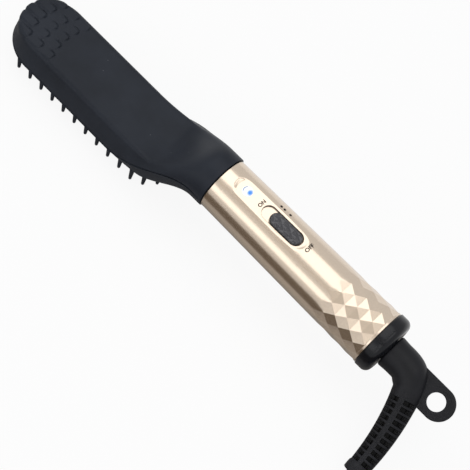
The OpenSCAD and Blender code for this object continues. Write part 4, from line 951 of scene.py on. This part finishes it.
# ---- End cap and cord guard ----
CAP_GAP, CAP_LEN, CAP_ROUND, CAP_R, CAP_BORE = 0.3, 8.0, 4.0, 17.0, 6.56
SPIGOT_LEN, SPIGOT_R, SPIGOT_BORE = 7.0, 14.1, 12.5
GUARD_GAP, ELBOW_R, ELBOW_TURN, DROP = 0.4, 13.5, 70.0, 25.0
RELIEF_END_W, RELIEF_D = 57.0, (13.8, 12.4)
SLOT_DEPTH, SLOT_START, SLOT_END = 3.1, 0.07, 0.88
ELBOW_AFTER, ELBOW_ROWS, TAIL_ROWS = 8.7, 40, 7
SPINE_TURN, SPINE_HALF, SPINE_EASE = 37.5, 34, 5
SWELL, LEAN = 0.45, (0.9, -1.1)
SHADE_FROM, SHADE_LESS = 0.9, 1.2
TAB_HALF, TAB_THICK, TAB_ROUND, TAB_MID = 8.95, 2.0, 0.9, 156.3
HOLE_R, HOLE_LIP, HOLE_AT = 4.85, 0.5, (155.0, 2.2)
DROP_COS, DROP_SIN = math.cos(math.radians(DROP)), math.sin(math.radians(DROP))


def lathe(profile, steps=128):
    """A profile of (x, radius) points carried round the handle's axis."""
    profile = np.asarray(profile, float)
    return about_axis(profile[:, :1], profile[:, 1:], circle(steps))


def build_end_cap(s, material):
    """The ring behind the handle: spigot, flat front, a barrel with a rounded rear shoulder,
    a shallow dish and the bearing bore."""
    start = s.length / MM + CAP_GAP
    end, front = start + CAP_LEN, start - SPIGOT_LEN
    a = np.radians(np.linspace(0, 90, 16))
    profile = [(front, SPIGOT_BORE), (front, SPIGOT_R), (start, SPIGOT_R), (start, CAP_R - 0.45),
               (start + 0.06, CAP_R - 0.22), (start + 0.22, CAP_R - 0.06), (start + 0.5, CAP_R)]
    profile += [(end - CAP_ROUND + CAP_ROUND * math.sin(q),
                 CAP_R - CAP_ROUND + CAP_ROUND * math.cos(q)) for q in a]
    profile += [(end, 9.8), (end - 0.25, 9.5), (end - 0.25, CAP_BORE + 0.2),
                (end - 0.5, CAP_BORE), (start, CAP_BORE), (start, SPIGOT_BORE)]
    points = lathe(profile)
    points = np.concatenate([points, points[:1]])
    return make_piece("end_cap_ring", [sheet(points, around=True)], material, "comb",
                      ["end_cap"], sharp=40)


def guard_line(a, elbow_x):
    """The guard's centre line at turn a: a tight elbow, then a wide bend to square. Returns
    the distance along the handle and the distance from its axis."""
    turn = math.radians(ELBOW_TURN)
    w0, x0 = ELBOW_R * (1 - math.cos(turn)), elbow_x + ELBOW_R * math.sin(turn)
    wide = (RELIEF_END_W - w0) / math.cos(turn)
    tight = a <= turn
    x = np.where(tight, elbow_x + ELBOW_R * np.sin(a), x0 + wide * (np.sin(a) - math.sin(turn)))
    w = np.where(tight, ELBOW_R * (1 - np.cos(a)), w0 + wide * (math.cos(turn) - np.cos(a)))
    return x, w


def from_plane(x, w, up):
    """Turns the guard's plane into place: w along its drop, up along its normal."""
    return np.stack(np.broadcast_arrays(
        x, -DROP_COS * w + DROP_SIN * up, -DROP_SIN * w - DROP_COS * up), -1)


def build_guard(s, cord, material):
    """The cord guard: a sleeve on the swivel, an elbow that thins, and a ribbed strain relief.
    Its radius is an even taper less a slot depth, and the slots are the product of a plateau
    along the line and one between four spines. A tab with a hang hole grows out of the elbow.
    Each point keeps how deep in a slot it lies, by which the rubber paints shade into the slots."""
    cap_end = s.length / MM + CAP_GAP + CAP_LEN
    start, elbow_x, r0 = cap_end + GUARD_GAP, cap_end + ELBOW_AFTER, cord.guard / MM / 2
    turn = math.radians(ELBOW_TURN)
    sides = 96
    phi = 2 * math.pi * np.arange(sides) / sides
    q = np.linspace(0, 1, ELBOW_ROWS, endpoint=False)
    pitch = np.concatenate([n + np.array([0, 0.16, 0.2, 0.235, 0.27, 0.33, 0.5, 0.67, 0.73,
                                          0.765, 0.8, 0.84]) for n in range(cord.ribs)])
    tail = [0.885, 0.9, 0.93, 0.96, 0.985, 0.995, 1.0]
    share = np.concatenate([mix(SLOT_START, SLOT_END, pitch / cord.ribs), tail])
    a = np.concatenate([turn * q, turn + (math.pi / 2 - turn) * share])
    swell = SWELL * np.sin(np.clip(q * 1.25, 0, 1) * math.pi) ** 2
    thick, thin = RELIEF_D[0] / 2 + 0.45, RELIEF_D[1] / 2
    taper = np.concatenate([mix(r0, thick, smooth((q - 0.4) / 0.6)),
                            mix(thick, thin, share ** 0.8)])
    taper[-TAIL_ROWS:] += np.array([0.0, 0.35, 0.5, 0.5, 0.45, 0.3, -0.3])
    along = np.pad(smooth((0.34 - np.abs(pitch % 1.0 - 0.5)) / 0.08), (ELBOW_ROWS, TAIL_ROWS))
    centres = np.radians(SPINE_TURN + np.array([0, 90, 180, 270]))
    away = np.abs((phi[:, None] - centres[None] + math.pi) % (2 * math.pi) - math.pi).min(1)
    between = smooth((np.radians(SPINE_HALF) - away) / np.radians(SPINE_EASE))
    r = taper[:, None] - SLOT_DEPTH * along[:, None] * between[None, :]
    r[:ELBOW_ROWS] += swell[:, None] * np.cos(phi)[None]
    ease = np.concatenate([0 * q, share])
    lean = mix(*LEAN, ease) * smooth(np.arange(len(a)) / ELBOW_ROWS)
    r += lean[:, None] * (0.5 - 0.5 * np.cos(phi))[None] ** 2
    cx, cw = guard_line(a, elbow_x)
    out, up = r * np.cos(phi), r * np.sin(phi)
    x = cx[:, None] + out * np.sin(a)[:, None]
    w = cw[:, None] - out * np.cos(a)[:, None]
    tube = from_plane(x, w, up)
    sleeve_x = np.array([0, 0.1, 0.35, 0.8, 2, 4, 6])
    sleeve_r = r0 + np.array([-0.5, -0.2, 0.15, 0.3, 0.25, 0.08, 0.0])
    sleeve = from_plane((start + sleeve_x)[:, None] + 0 * phi, -sleeve_r[:, None] * np.cos(phi),
                        sleeve_r[:, None] * np.sin(phi))
    root = from_plane(np.full((1, sides), start), 0 * phi[None] - TINY * np.cos(phi),
                      TINY * np.sin(phi)[None])
    ex, ew = guard_line(np.array([math.pi / 2]), elbow_x)
    end = from_plane(ex[0] + TINY * np.cos(phi)[None], ew[0] + 0 * phi[None],
                     TINY * np.sin(phi)[None])
    body = np.concatenate([root, sleeve, tube, end])
    guard = make_piece("cord_guard_ribbed", [sheet(body, around=True), hang_tab(elbow_x)],
                       material, "swivel", ["cord_guard"], sharp=42)
    line = (from_plane(cx, cw, 0 * cx) + np.array([SEAM_X, 0, AXIS_Z]))[ELBOW_ROWS:-TAIL_ROWS]
    points = np.zeros(len(guard.data.vertices) * 3)
    guard.data.vertices.foreach_get("co", points)
    gap = np.linalg.norm(points.reshape(-1, 1, 3) / MM - line[None], axis=2)
    around = taper[ELBOW_ROWS:-TAIL_ROWS][gap.argmin(1)]
    # Painted shade in the slots: how deep each point lies, which the rubber darkens by.
    depth = np.clip((around - SHADE_FROM - gap.min(1)) / (SLOT_DEPTH - SHADE_LESS), 0, 1)
    guard.data.attributes.new("hollow", "FLOAT", "POINT").data.foreach_set("value", depth)
    return guard


def hang_tab(elbow_x):
    """The hang tab: rings from the hole out to the tab's outline, over its rounded edge and
    back on the other face. The outline is where each ray from the hole meets two straight
    sides and a round end."""
    hx, hw = HOLE_AT
    t = circle(144)
    c, d = np.cos(t), np.sin(t)
    off = hx - TAB_MID
    round_end = -off * c + np.sqrt(TAB_HALF ** 2 - (off * d) ** 2)
    straight = np.minimum(TAB_HALF / np.maximum(np.abs(d), 1e-9),
                          np.where(c < 0, (hx - elbow_x - 6) / np.maximum(-c, 1e-9), 1e9))
    reach = np.where(hx + c * round_end > TAB_MID, round_end, straight)
    inset = 1 - np.sin(np.radians(np.linspace(0, 90, 5)))
    fall = 1 - np.cos(np.radians(np.linspace(0, 90, 5)))
    rows = [(HOLE_R + 0 * t, 0.0)]
    rows += [(HOLE_R + HOLE_LIP * f + 0 * t, TAB_THICK - HOLE_LIP * i)
             for f, i in zip(fall, inset)]
    rows += [(mix(HOLE_R + HOLE_LIP, reach - TAB_ROUND, 0.5), TAB_THICK)]
    rows += [(reach - TAB_ROUND * i, TAB_THICK - TAB_ROUND * f) for f, i in zip(fall, inset)]
    rows += [(reach, 0.0)]
    rows += [(dist, -z) for dist, z in rows[-2::-1]]
    return sheet(np.stack([from_plane(hx + c * dist, hw + d * dist, z + 0 * t)
                           for dist, z in rows]), around=True)


# ---- Cord and plug ----
LEAD_ROUTE = [[159.9, -64.9, 7.7], [162.9, -72.1, 5.2], [167.7, -78.3, 3.7], [173.9, -83.1, 3],
              [181.1, -86.1, 3], [188.9, -87.2, 3], [200, -87.3, 3], [212, -87.3, 3],
              [222, -87.3, 3]]
COIL_MID, COIL_OUTER, COIL_STEP, COIL_TURNS = (242.0, -40.0), 47.3, 6.6, 7
TAIL_ROUTE = [[258.8, -86.3, 10.5], [266, -83.3, 12.1], [272.2, -78.5, 14.2], [277, -72.3, 16.4],
              [280, -65.1, 18.3], [281, -58.5, 19.4]]
PLUG_ENTRY = [281, -46, 19.75]
PACKED_LEN = 112.0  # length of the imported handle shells, which the cord's route follows


def cord_route(diameter):
    """The cord's points in millimetres, as the part's source lays them: out of the guard, down
    to the table, spiralling in, climbing one layer, spiralling out and over its turns to the
    plug."""
    drop = np.array([0, -DROP_COS, -DROP_SIN])
    ex, _ = guard_line(np.array([math.pi / 2]), PACKED_LEN + CAP_GAP + CAP_LEN + ELBOW_AFTER)
    leave = np.array([SEAM_X + ex[0], drop[1] * RELIEF_END_W, AXIS_Z + drop[2] * RELIEF_END_W])
    half = COIL_TURNS / 2
    turn = np.arange(COIL_TURNS * 24 + 1) / 24
    r = COIL_OUTER - COIL_STEP * (half - np.hypot(turn - half, 0.1))
    climb = smooth((turn - half + 0.25) / 0.5)
    a = math.pi * (1.5 + 2 * turn)
    coil = np.stack([COIL_MID[0] + r * np.cos(a), COIL_MID[1] + r * np.sin(a),
                     diameter / 2 + COIL_STEP * climb], 1)
    step, last = np.array([diameter, 0, 0]), np.array([0, diameter, 0])
    return np.concatenate([[leave, leave + drop * diameter], LEAD_ROUTE,
                           [coil[0] - 2 * step, coil[0] - step], coil,
                           [coil[-1] + step, coil[-1] + 1.5 * step], TAIL_ROUTE,
                           [PLUG_ENTRY - last, PLUG_ENTRY]])


def eased(points, per=5):
    """A smooth curve through points: cubic pieces whose slope at each point is that of its
    neighbours, weighed by their distance along the line."""
    step = np.linalg.norm(np.diff(points, axis=0), axis=1)
    slope = np.gradient(points, np.concatenate([[0], np.cumsum(step)]), axis=0)
    t = np.linspace(0, 1, per, endpoint=False)[None, :, None]
    a, b, step = points[:-1, None], points[1:, None], step[:, None, None]
    ma, mb = slope[:-1, None] * step, slope[1:, None] * step
    h = (2 * t ** 3 - 3 * t ** 2 + 1) * a + (t ** 3 - 2 * t ** 2 + t) * ma \
        + (3 * t ** 2 - 2 * t ** 3) * b + (t ** 3 - t ** 2) * mb
    return np.concatenate([h.reshape(-1, 3), points[-1:]])


def build_cord(sizes, material):
    """The cord: one curve along its route, as thick as the cord."""
    d = sizes.cord / MM
    points = eased(cord_route(d)) * MM
    curve = bpy.data.curves.new("cord", "CURVE")
    curve.dimensions, curve.bevel_depth, curve.bevel_resolution = "3D", sizes.cord / 2, 5
    curve.use_fill_caps = True
    spline = curve.splines.new("POLY")
    spline.points.add(len(points) - 1)
    spline.points.foreach_set("co", np.concatenate([points, np.ones((len(points), 1))], 1).ravel())
    spline.use_smooth = True
    curve.materials.append(material)
    cord = new_object("cord", curve)
    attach(cord, "swivel")
    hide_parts("cord_lead", "cord_coil", "cord_tail")
    return cord


def build_plug(material):
    """The plug's body: rounded sections, superellipses that widen and flatten from the cord's
    entry to the flat face."""
    y = np.array([0, 0.3, 1, 3, 5, 7, 9, 11, 14, 18, 22, 26, 30, 33, 35, 35.6, 36])
    w = np.array([3.4, 3.8, 4.0, 4.4, 4.8, 5.3, 6.2, 7.6, 9.6, 11.4, 13.0, 14.6, 16.1, 16.9, 17,
                  16.8, 16.3])
    h = np.array([3.4, 3.8, 4.0, 4.3, 4.7, 5.2, 5.8, 6.2, 6.5, 6.7, 6.85, 6.85, 6.85, 6.85, 6.85,
                  6.7, 6.3])
    power = mix(2.0, 4.5, smooth((y - 7) / 14))
    a = circle(72)
    c, d = np.cos(a)[None], np.sin(a)[None]
    e = (2 / power)[:, None]
    x = w[:, None] * np.sign(c) * np.abs(c) ** e
    z = h[:, None] * np.sign(d) * np.abs(d) ** e
    grip = 0.35 * smooth(1 - np.abs(y - 20) / 8)[:, None] * np.cos(y * 2.4)[:, None]
    x = x * (1 - grip / w[:, None])
    rows = np.stack([x, np.broadcast_to(y[:, None], x.shape), z], -1)
    tip = lambda v: np.stack([TINY * c[0], 0 * c[0] + v, TINY * d[0]], -1)[None]
    body = np.concatenate([tip(0.0), rows, tip(36.0)]) + np.array(PLUG_ENTRY)
    return make_piece("plug_moulding", [sheet(body, around=True)], material, "swivel",
                      ["plug_body"], sharp=40, placed=False)


# ---- Operators ----
# By slot: the finish's name, colour, least roughness, and metallic share and grain.
PLAIN_LOOKS = {
    "screw_steel": ("screw_steel", (0.62, 0.62, 0.64), 0.25, 1.0, 900.0),
    "brass": ("brass", (0.78, 0.58, 0.26), 0.28, 1.0, 800.0),
    "film": ("amber_film", (0.62, 0.3, 0.05), 0.2),
    "ceramic": ("heating_stone", (0.22, 0.2, 0.18), 0.6, 0.0, 1500.0),
    "white_nylon": ("white_nylon", (0.75, 0.75, 0.72), 0.4),
    "board_green": ("board_green", (0.03, 0.17, 0.08), 0.3),
    "amber_plastic": ("amber_plastic", (0.6, 0.45, 0.08), 0.35),
    "lens_white": ("lamp_dome", (0.8, 0.86, 0.95), 0.15),
    "lead_red": ("lead_red", (0.5, 0.04, 0.03), 0.4),
    "lead_yellow": ("lead_yellow", (0.7, 0.6, 0.08), 0.4),
    "lead_brown": ("lead_brown", (0.16, 0.08, 0.04), 0.4),
}


class HOTCOMB_OT_head(Operator):
    """Builds the two head shells"""

    bl_idname = "hotcomb.head"
    bl_label = "Head shells"

    def execute(self, context):
        s = context.scene.hotcomb_head
        material = soft_black(context.scene.hotcomb_colours)
        build_head_cover(s, material)
        build_head_base(s, material)
        return {"FINISHED"}


class HOTCOMB_OT_handle(Operator):
    """Builds the two handle shells"""

    bl_idname = "hotcomb.handle"
    bl_label = "Handle shells"

    def execute(self, context):
        s, knob = context.scene.hotcomb_handle, context.scene.hotcomb_switch
        material = gold_lacquer(context.scene.hotcomb_colours)
        for side, name, node in ((1, "handle_top_shell", "handle_top"),
                                 (-1, "handle_bottom_shell", "handle_bottom")):
            parts, flat = handle_shell(s, knob, side)
            make_piece(name, parts, material, "comb", [node], sharp=28,
                       flat=(flat,))
        return {"FINISHED"}


class HOTCOMB_OT_switch(Operator):
    """Builds the slider knob"""

    bl_idname = "hotcomb.switch"
    bl_label = "Slider knob"

    def execute(self, context):
        s = context.scene.hotcomb_switch
        build_knob(s, knob_black(s))
        return {"FINISHED"}


class HOTCOMB_OT_lamp(Operator):
    """Builds the lamp's lens"""

    bl_idname = "hotcomb.lamp"
    bl_label = "Lamp lens"

    def execute(self, context):
        build_lens(lens_glow(context.scene.hotcomb_colours))
        return {"FINISHED"}


class HOTCOMB_OT_marks(Operator):
    """Prints ON, OFF and the three dots"""

    bl_idname = "hotcomb.marks"
    bl_label = "Printed marks"

    def execute(self, context):
        build_marks(context.scene.hotcomb_handle, ink())
        return {"FINISHED"}


class HOTCOMB_OT_end_cap(Operator):
    """Builds the glossy ring behind the handle"""

    bl_idname = "hotcomb.end_cap"
    bl_label = "End ring"

    def execute(self, context):
        build_end_cap(context.scene.hotcomb_handle, gloss_black())
        return {"FINISHED"}


class HOTCOMB_OT_cord(Operator):
    """Builds the cord guard, the cord and its plug"""

    bl_idname = "hotcomb.cord"
    bl_label = "Cord guard, cord and plug"

    def execute(self, context):
        scene = context.scene
        rubber = rubber_black(scene.hotcomb_colours, slots=True)
        guard = build_guard(scene.hotcomb_handle, scene.hotcomb_cord, rubber)
        plug = build_plug(rubber_black(scene.hotcomb_colours, "plug_rubber"))
        build_cord(scene.hotcomb_cord, cord_rubber())
        return {"FINISHED"}


class HOTCOMB_OT_finishes(Operator):
    """Gives every piece that stays as it was packed its finish"""

    bl_idname = "hotcomb.finishes"
    bl_label = "Finishes of the packed pieces"

    def execute(self, context):
        colours = context.scene.hotcomb_colours
        finishes = {slot: plain_finish(*look) for slot, look in PLAIN_LOOKS.items()}
        finishes.update({
            "soft_black": soft_black(colours, "inner_black"),
            "heater_steel": brushed_plate(),
            "rubber_black": rubber_black(colours, "inner_rubber"),
            "cord_black": cord_rubber(),
            "gloss_black": gloss_black("inner_gloss"),
            "gold_lacquer": gold_lacquer(colours),
        })
        slots = {p["node"]: p["material_slot"] for p in frame["record"]["subparts"]}
        for name, node in frame["nodes"].items():
            if not node.hide_render:
                finish = finishes[slots[name]]
                if not node.material_slots:
                    node.data.materials.append(finish)
                for slot in node.material_slots:
                    slot.material = finish
        return {"FINISHED"}


# ---- Stage ----
SKY_LEVEL, SKY_GLOSS = 0.44, 0.42
PHOTO_SIDE, FOCAL_PIXELS = 470.0, 1663.4


class HOTCOMB_OT_stage(Operator):
    """Sets up the floor, the lights and the camera"""

    bl_idname = "hotcomb.stage"
    bl_label = "Stage"

    def execute(self, context):
        scene = context.scene
        scene.view_settings.view_transform = "Standard"
        build_camera(scene)
        build_world(scene)
        build_floor()
        build_lights()
        return {"FINISHED"}


def build_camera(scene):
    """The photograph's camera, from the directions of its right and down edges and its place
    in millimetres."""
    data = bpy.data.cameras.new("camera")
    data.sensor_fit, data.sensor_width = "HORIZONTAL", 36.0
    data.lens = FOCAL_PIXELS / PHOTO_SIDE * data.sensor_width
    data.clip_start, data.clip_end = 0.05, 20.0
    camera = new_object("camera", data)
    right = unit(np.array([0.69866, 0.68954, 0.19080]))
    back = unit(np.cross(right, -np.array([0.69801, -0.59842, -0.39329])))
    set_axes(camera, right, np.cross(back, right), back,
             np.array([165.575, -358.094, 792.762]) * MM)
    scene.camera = camera


def stage_material(name, colour, shares):
    """A stage surface: a plain diffuse colour, with a share of plain white added for camera
    rays, and for mirrored and passing rays, so that it reads pale and keeps its shadow."""
    f = Finish(name, colour, roughness=0.9, Specular_IOR_Level=0.0)
    seen = f.rays("Camera") * shares[0] + f.rays("Glossy") * shares[1] \
        + f.rays("Transmission") * shares[1]
    light = f.node("ShaderNodeEmission", {}, {0: (1.0, 1.0, 1.0)})
    f.put(f.end.inputs[0], f.node("ShaderNodeMixShader", {}, {
        0: seen.minimum(1.0), 1: f.shader, 2: light}))
    return f.material


def build_world(scene):
    """A dim even sky that the camera sees as plain white and mirrored rays as nearly half
    white."""
    scene.world = bpy.data.worlds.new("sky")
    sky = Tree(scene.world)
    seen = (sky.rays("Glossy") * SKY_GLOSS + sky.rays("Camera")).minimum(1.0)
    plain = sky.node("ShaderNodeBackground", {}, {0: (1.0, 1.0, 1.0), 1: 1.0})
    dim = sky.node("ShaderNodeBackground", {}, {0: (0.97, 0.98, 1.0), 1: SKY_LEVEL})
    sky.node("ShaderNodeOutputWorld", {}, {
        0: sky.node("ShaderNodeMixShader", {}, {0: seen, 1: dim, 2: plain})})


def flat_card(name, corners, material, camera=True):
    """A flat four-cornered card of the stage. Without camera it shows only to mirrored and
    passing rays."""
    mesh = bpy.data.meshes.new(name)
    mesh.from_pydata([tuple(c) for c in corners], [], [(0, 1, 2, 3)])
    mesh.materials.append(material)
    card = new_object(name, mesh)
    if not camera:
        card.visible_camera = card.visible_diffuse = card.visible_shadow = False


def build_floor():
    """A wide pale floor."""
    material = stage_material("floor_white", (0.9, 0.9, 0.9), (0.9, 0.5))
    flat_card("floor", [(-3, -3, 0), (3, -3, 0), (3, 3, 0), (-3, 3, 0)], material)


def soft_lamp(name, place, aim, size, power):
    """A rectangular soft white lamp at a place, turned towards an aim."""
    data = bpy.data.lights.new(name, "AREA")
    data.shape, data.size, data.size_y, data.energy = "RECTANGLE", *size, power
    place = np.array(place, float)
    back = unit(place - np.array(aim, float))
    side = unit(np.array([1.0, 0, 0]) - back * back[0])
    set_axes(new_object(name, data), side, np.cross(back, side), back, place)


def build_lights():
    """A wide box overhead, a narrower one low in front, and a third between them that stands
    further off, beyond the cord end. Five cards that show only in reflections shape them: a
    brown and a tan one lie on the floor, a grey one parts the overhead box from the front one,
    and two narrow grey ones stand before these boxes over the cord end."""
    middle = (0.1, 0.0, 0.0375)
    around = lambda deg, far, x=-0.1: (x, far * math.sin(math.radians(deg)),
                                       middle[2] + far * math.cos(math.radians(deg)))
    for name, place, aim_x, size, power in (
            ("overhead_box", around(12, 0.9), 0.06, (1.7, 0.86), 4.6),
            ("front_box", around(-60, 0.9), 0.06, (1.5, 0.36), 1.6),
            ("side_box", around(-33, 1.35, 0.40), middle[0], (0.6, 0.75), 1.25)):
        soft_lamp(name, place, (aim_x, 0.0, middle[2]), size, power)
    brown, grey, tan = (Finish(name, base, roughness=1.0, Specular_IOR_Level=0.0).material
                        for name, base in (("flag_brown", (0.09, 0.058, 0.03)),
                                           ("flag_grey", (0.9, 0.86, 0.8)),
                                           ("flag_tan", (0.42, 0.4, 0.38))))
    for name, near, far, material in (("flag", -0.9, -0.066, brown),
                                      ("near_flag", -0.066, 0.03, tan)):
        flat_card(name, [(-0.4, near, 0.002), (0.6, near, 0.002), (0.6, far, 0.002),
                         (-0.4, far, 0.002)], material, camera=False)
    for name, first, last, far, x0, x1 in (("gap_flag", -22, -35, 0.9, -1.0, 0.8),
                                           ("top_flag", 40, -17, 0.87, 0.13, 0.26),
                                           ("front_flag", -72, -48, 0.87, 0.13, 0.26)):
        flat_card(name, [around(first, far, x0), around(first, far, x1), around(last, far, x1),
                         around(last, far, x0)], grey, camera=False)


class HOTCOMB_PT_panel(Panel):
    """Lists the steps that dress the comb"""

    bl_label = "Hot comb"
    bl_idname = "HOTCOMB_PT_panel"
    bl_space_type = "VIEW_3D"
    bl_region_type = "UI"
    bl_category = "Hot comb"

    def draw(self, context):
        for group in (getattr(context.scene, key) for key in GROUPS):
            box = self.layout.box()
            for key in group.__annotations__:
                box.prop(group, key)
        for step in STEPS:
            self.layout.operator(step.bl_idname)


GROUPS = {"hotcomb_head": HeadSizes, "hotcomb_handle": HandleSizes,
          "hotcomb_switch": SwitchSizes, "hotcomb_cord": CordSizes,
          "hotcomb_colours": FinishColours}
STEPS = [HOTCOMB_OT_stage, HOTCOMB_OT_cord, HOTCOMB_OT_head, HOTCOMB_OT_handle,
         HOTCOMB_OT_switch, HOTCOMB_OT_lamp, HOTCOMB_OT_marks, HOTCOMB_OT_end_cap,
         HOTCOMB_OT_finishes]


def register():
    for cls in [*GROUPS.values(), *STEPS, HOTCOMB_PT_panel]:
        bpy.utils.register_class(cls)
    for key, cls in GROUPS.items():
        setattr(bpy.types.Scene, key, PointerProperty(type=cls))


def unregister():
    for key in GROUPS:
        delattr(bpy.types.Scene, key)
    for cls in [HOTCOMB_PT_panel, *STEPS[::-1], *list(GROUPS.values())[::-1]]:
        bpy.utils.unregister_class(cls)


def main():
    """Registers the classes and dresses the comb step by step."""
    register()
    for step in STEPS:
        group, name = step.bl_idname.split(".")
        getattr(getattr(bpy.ops, group), name)()


if __name__ == "__main__":
    main()
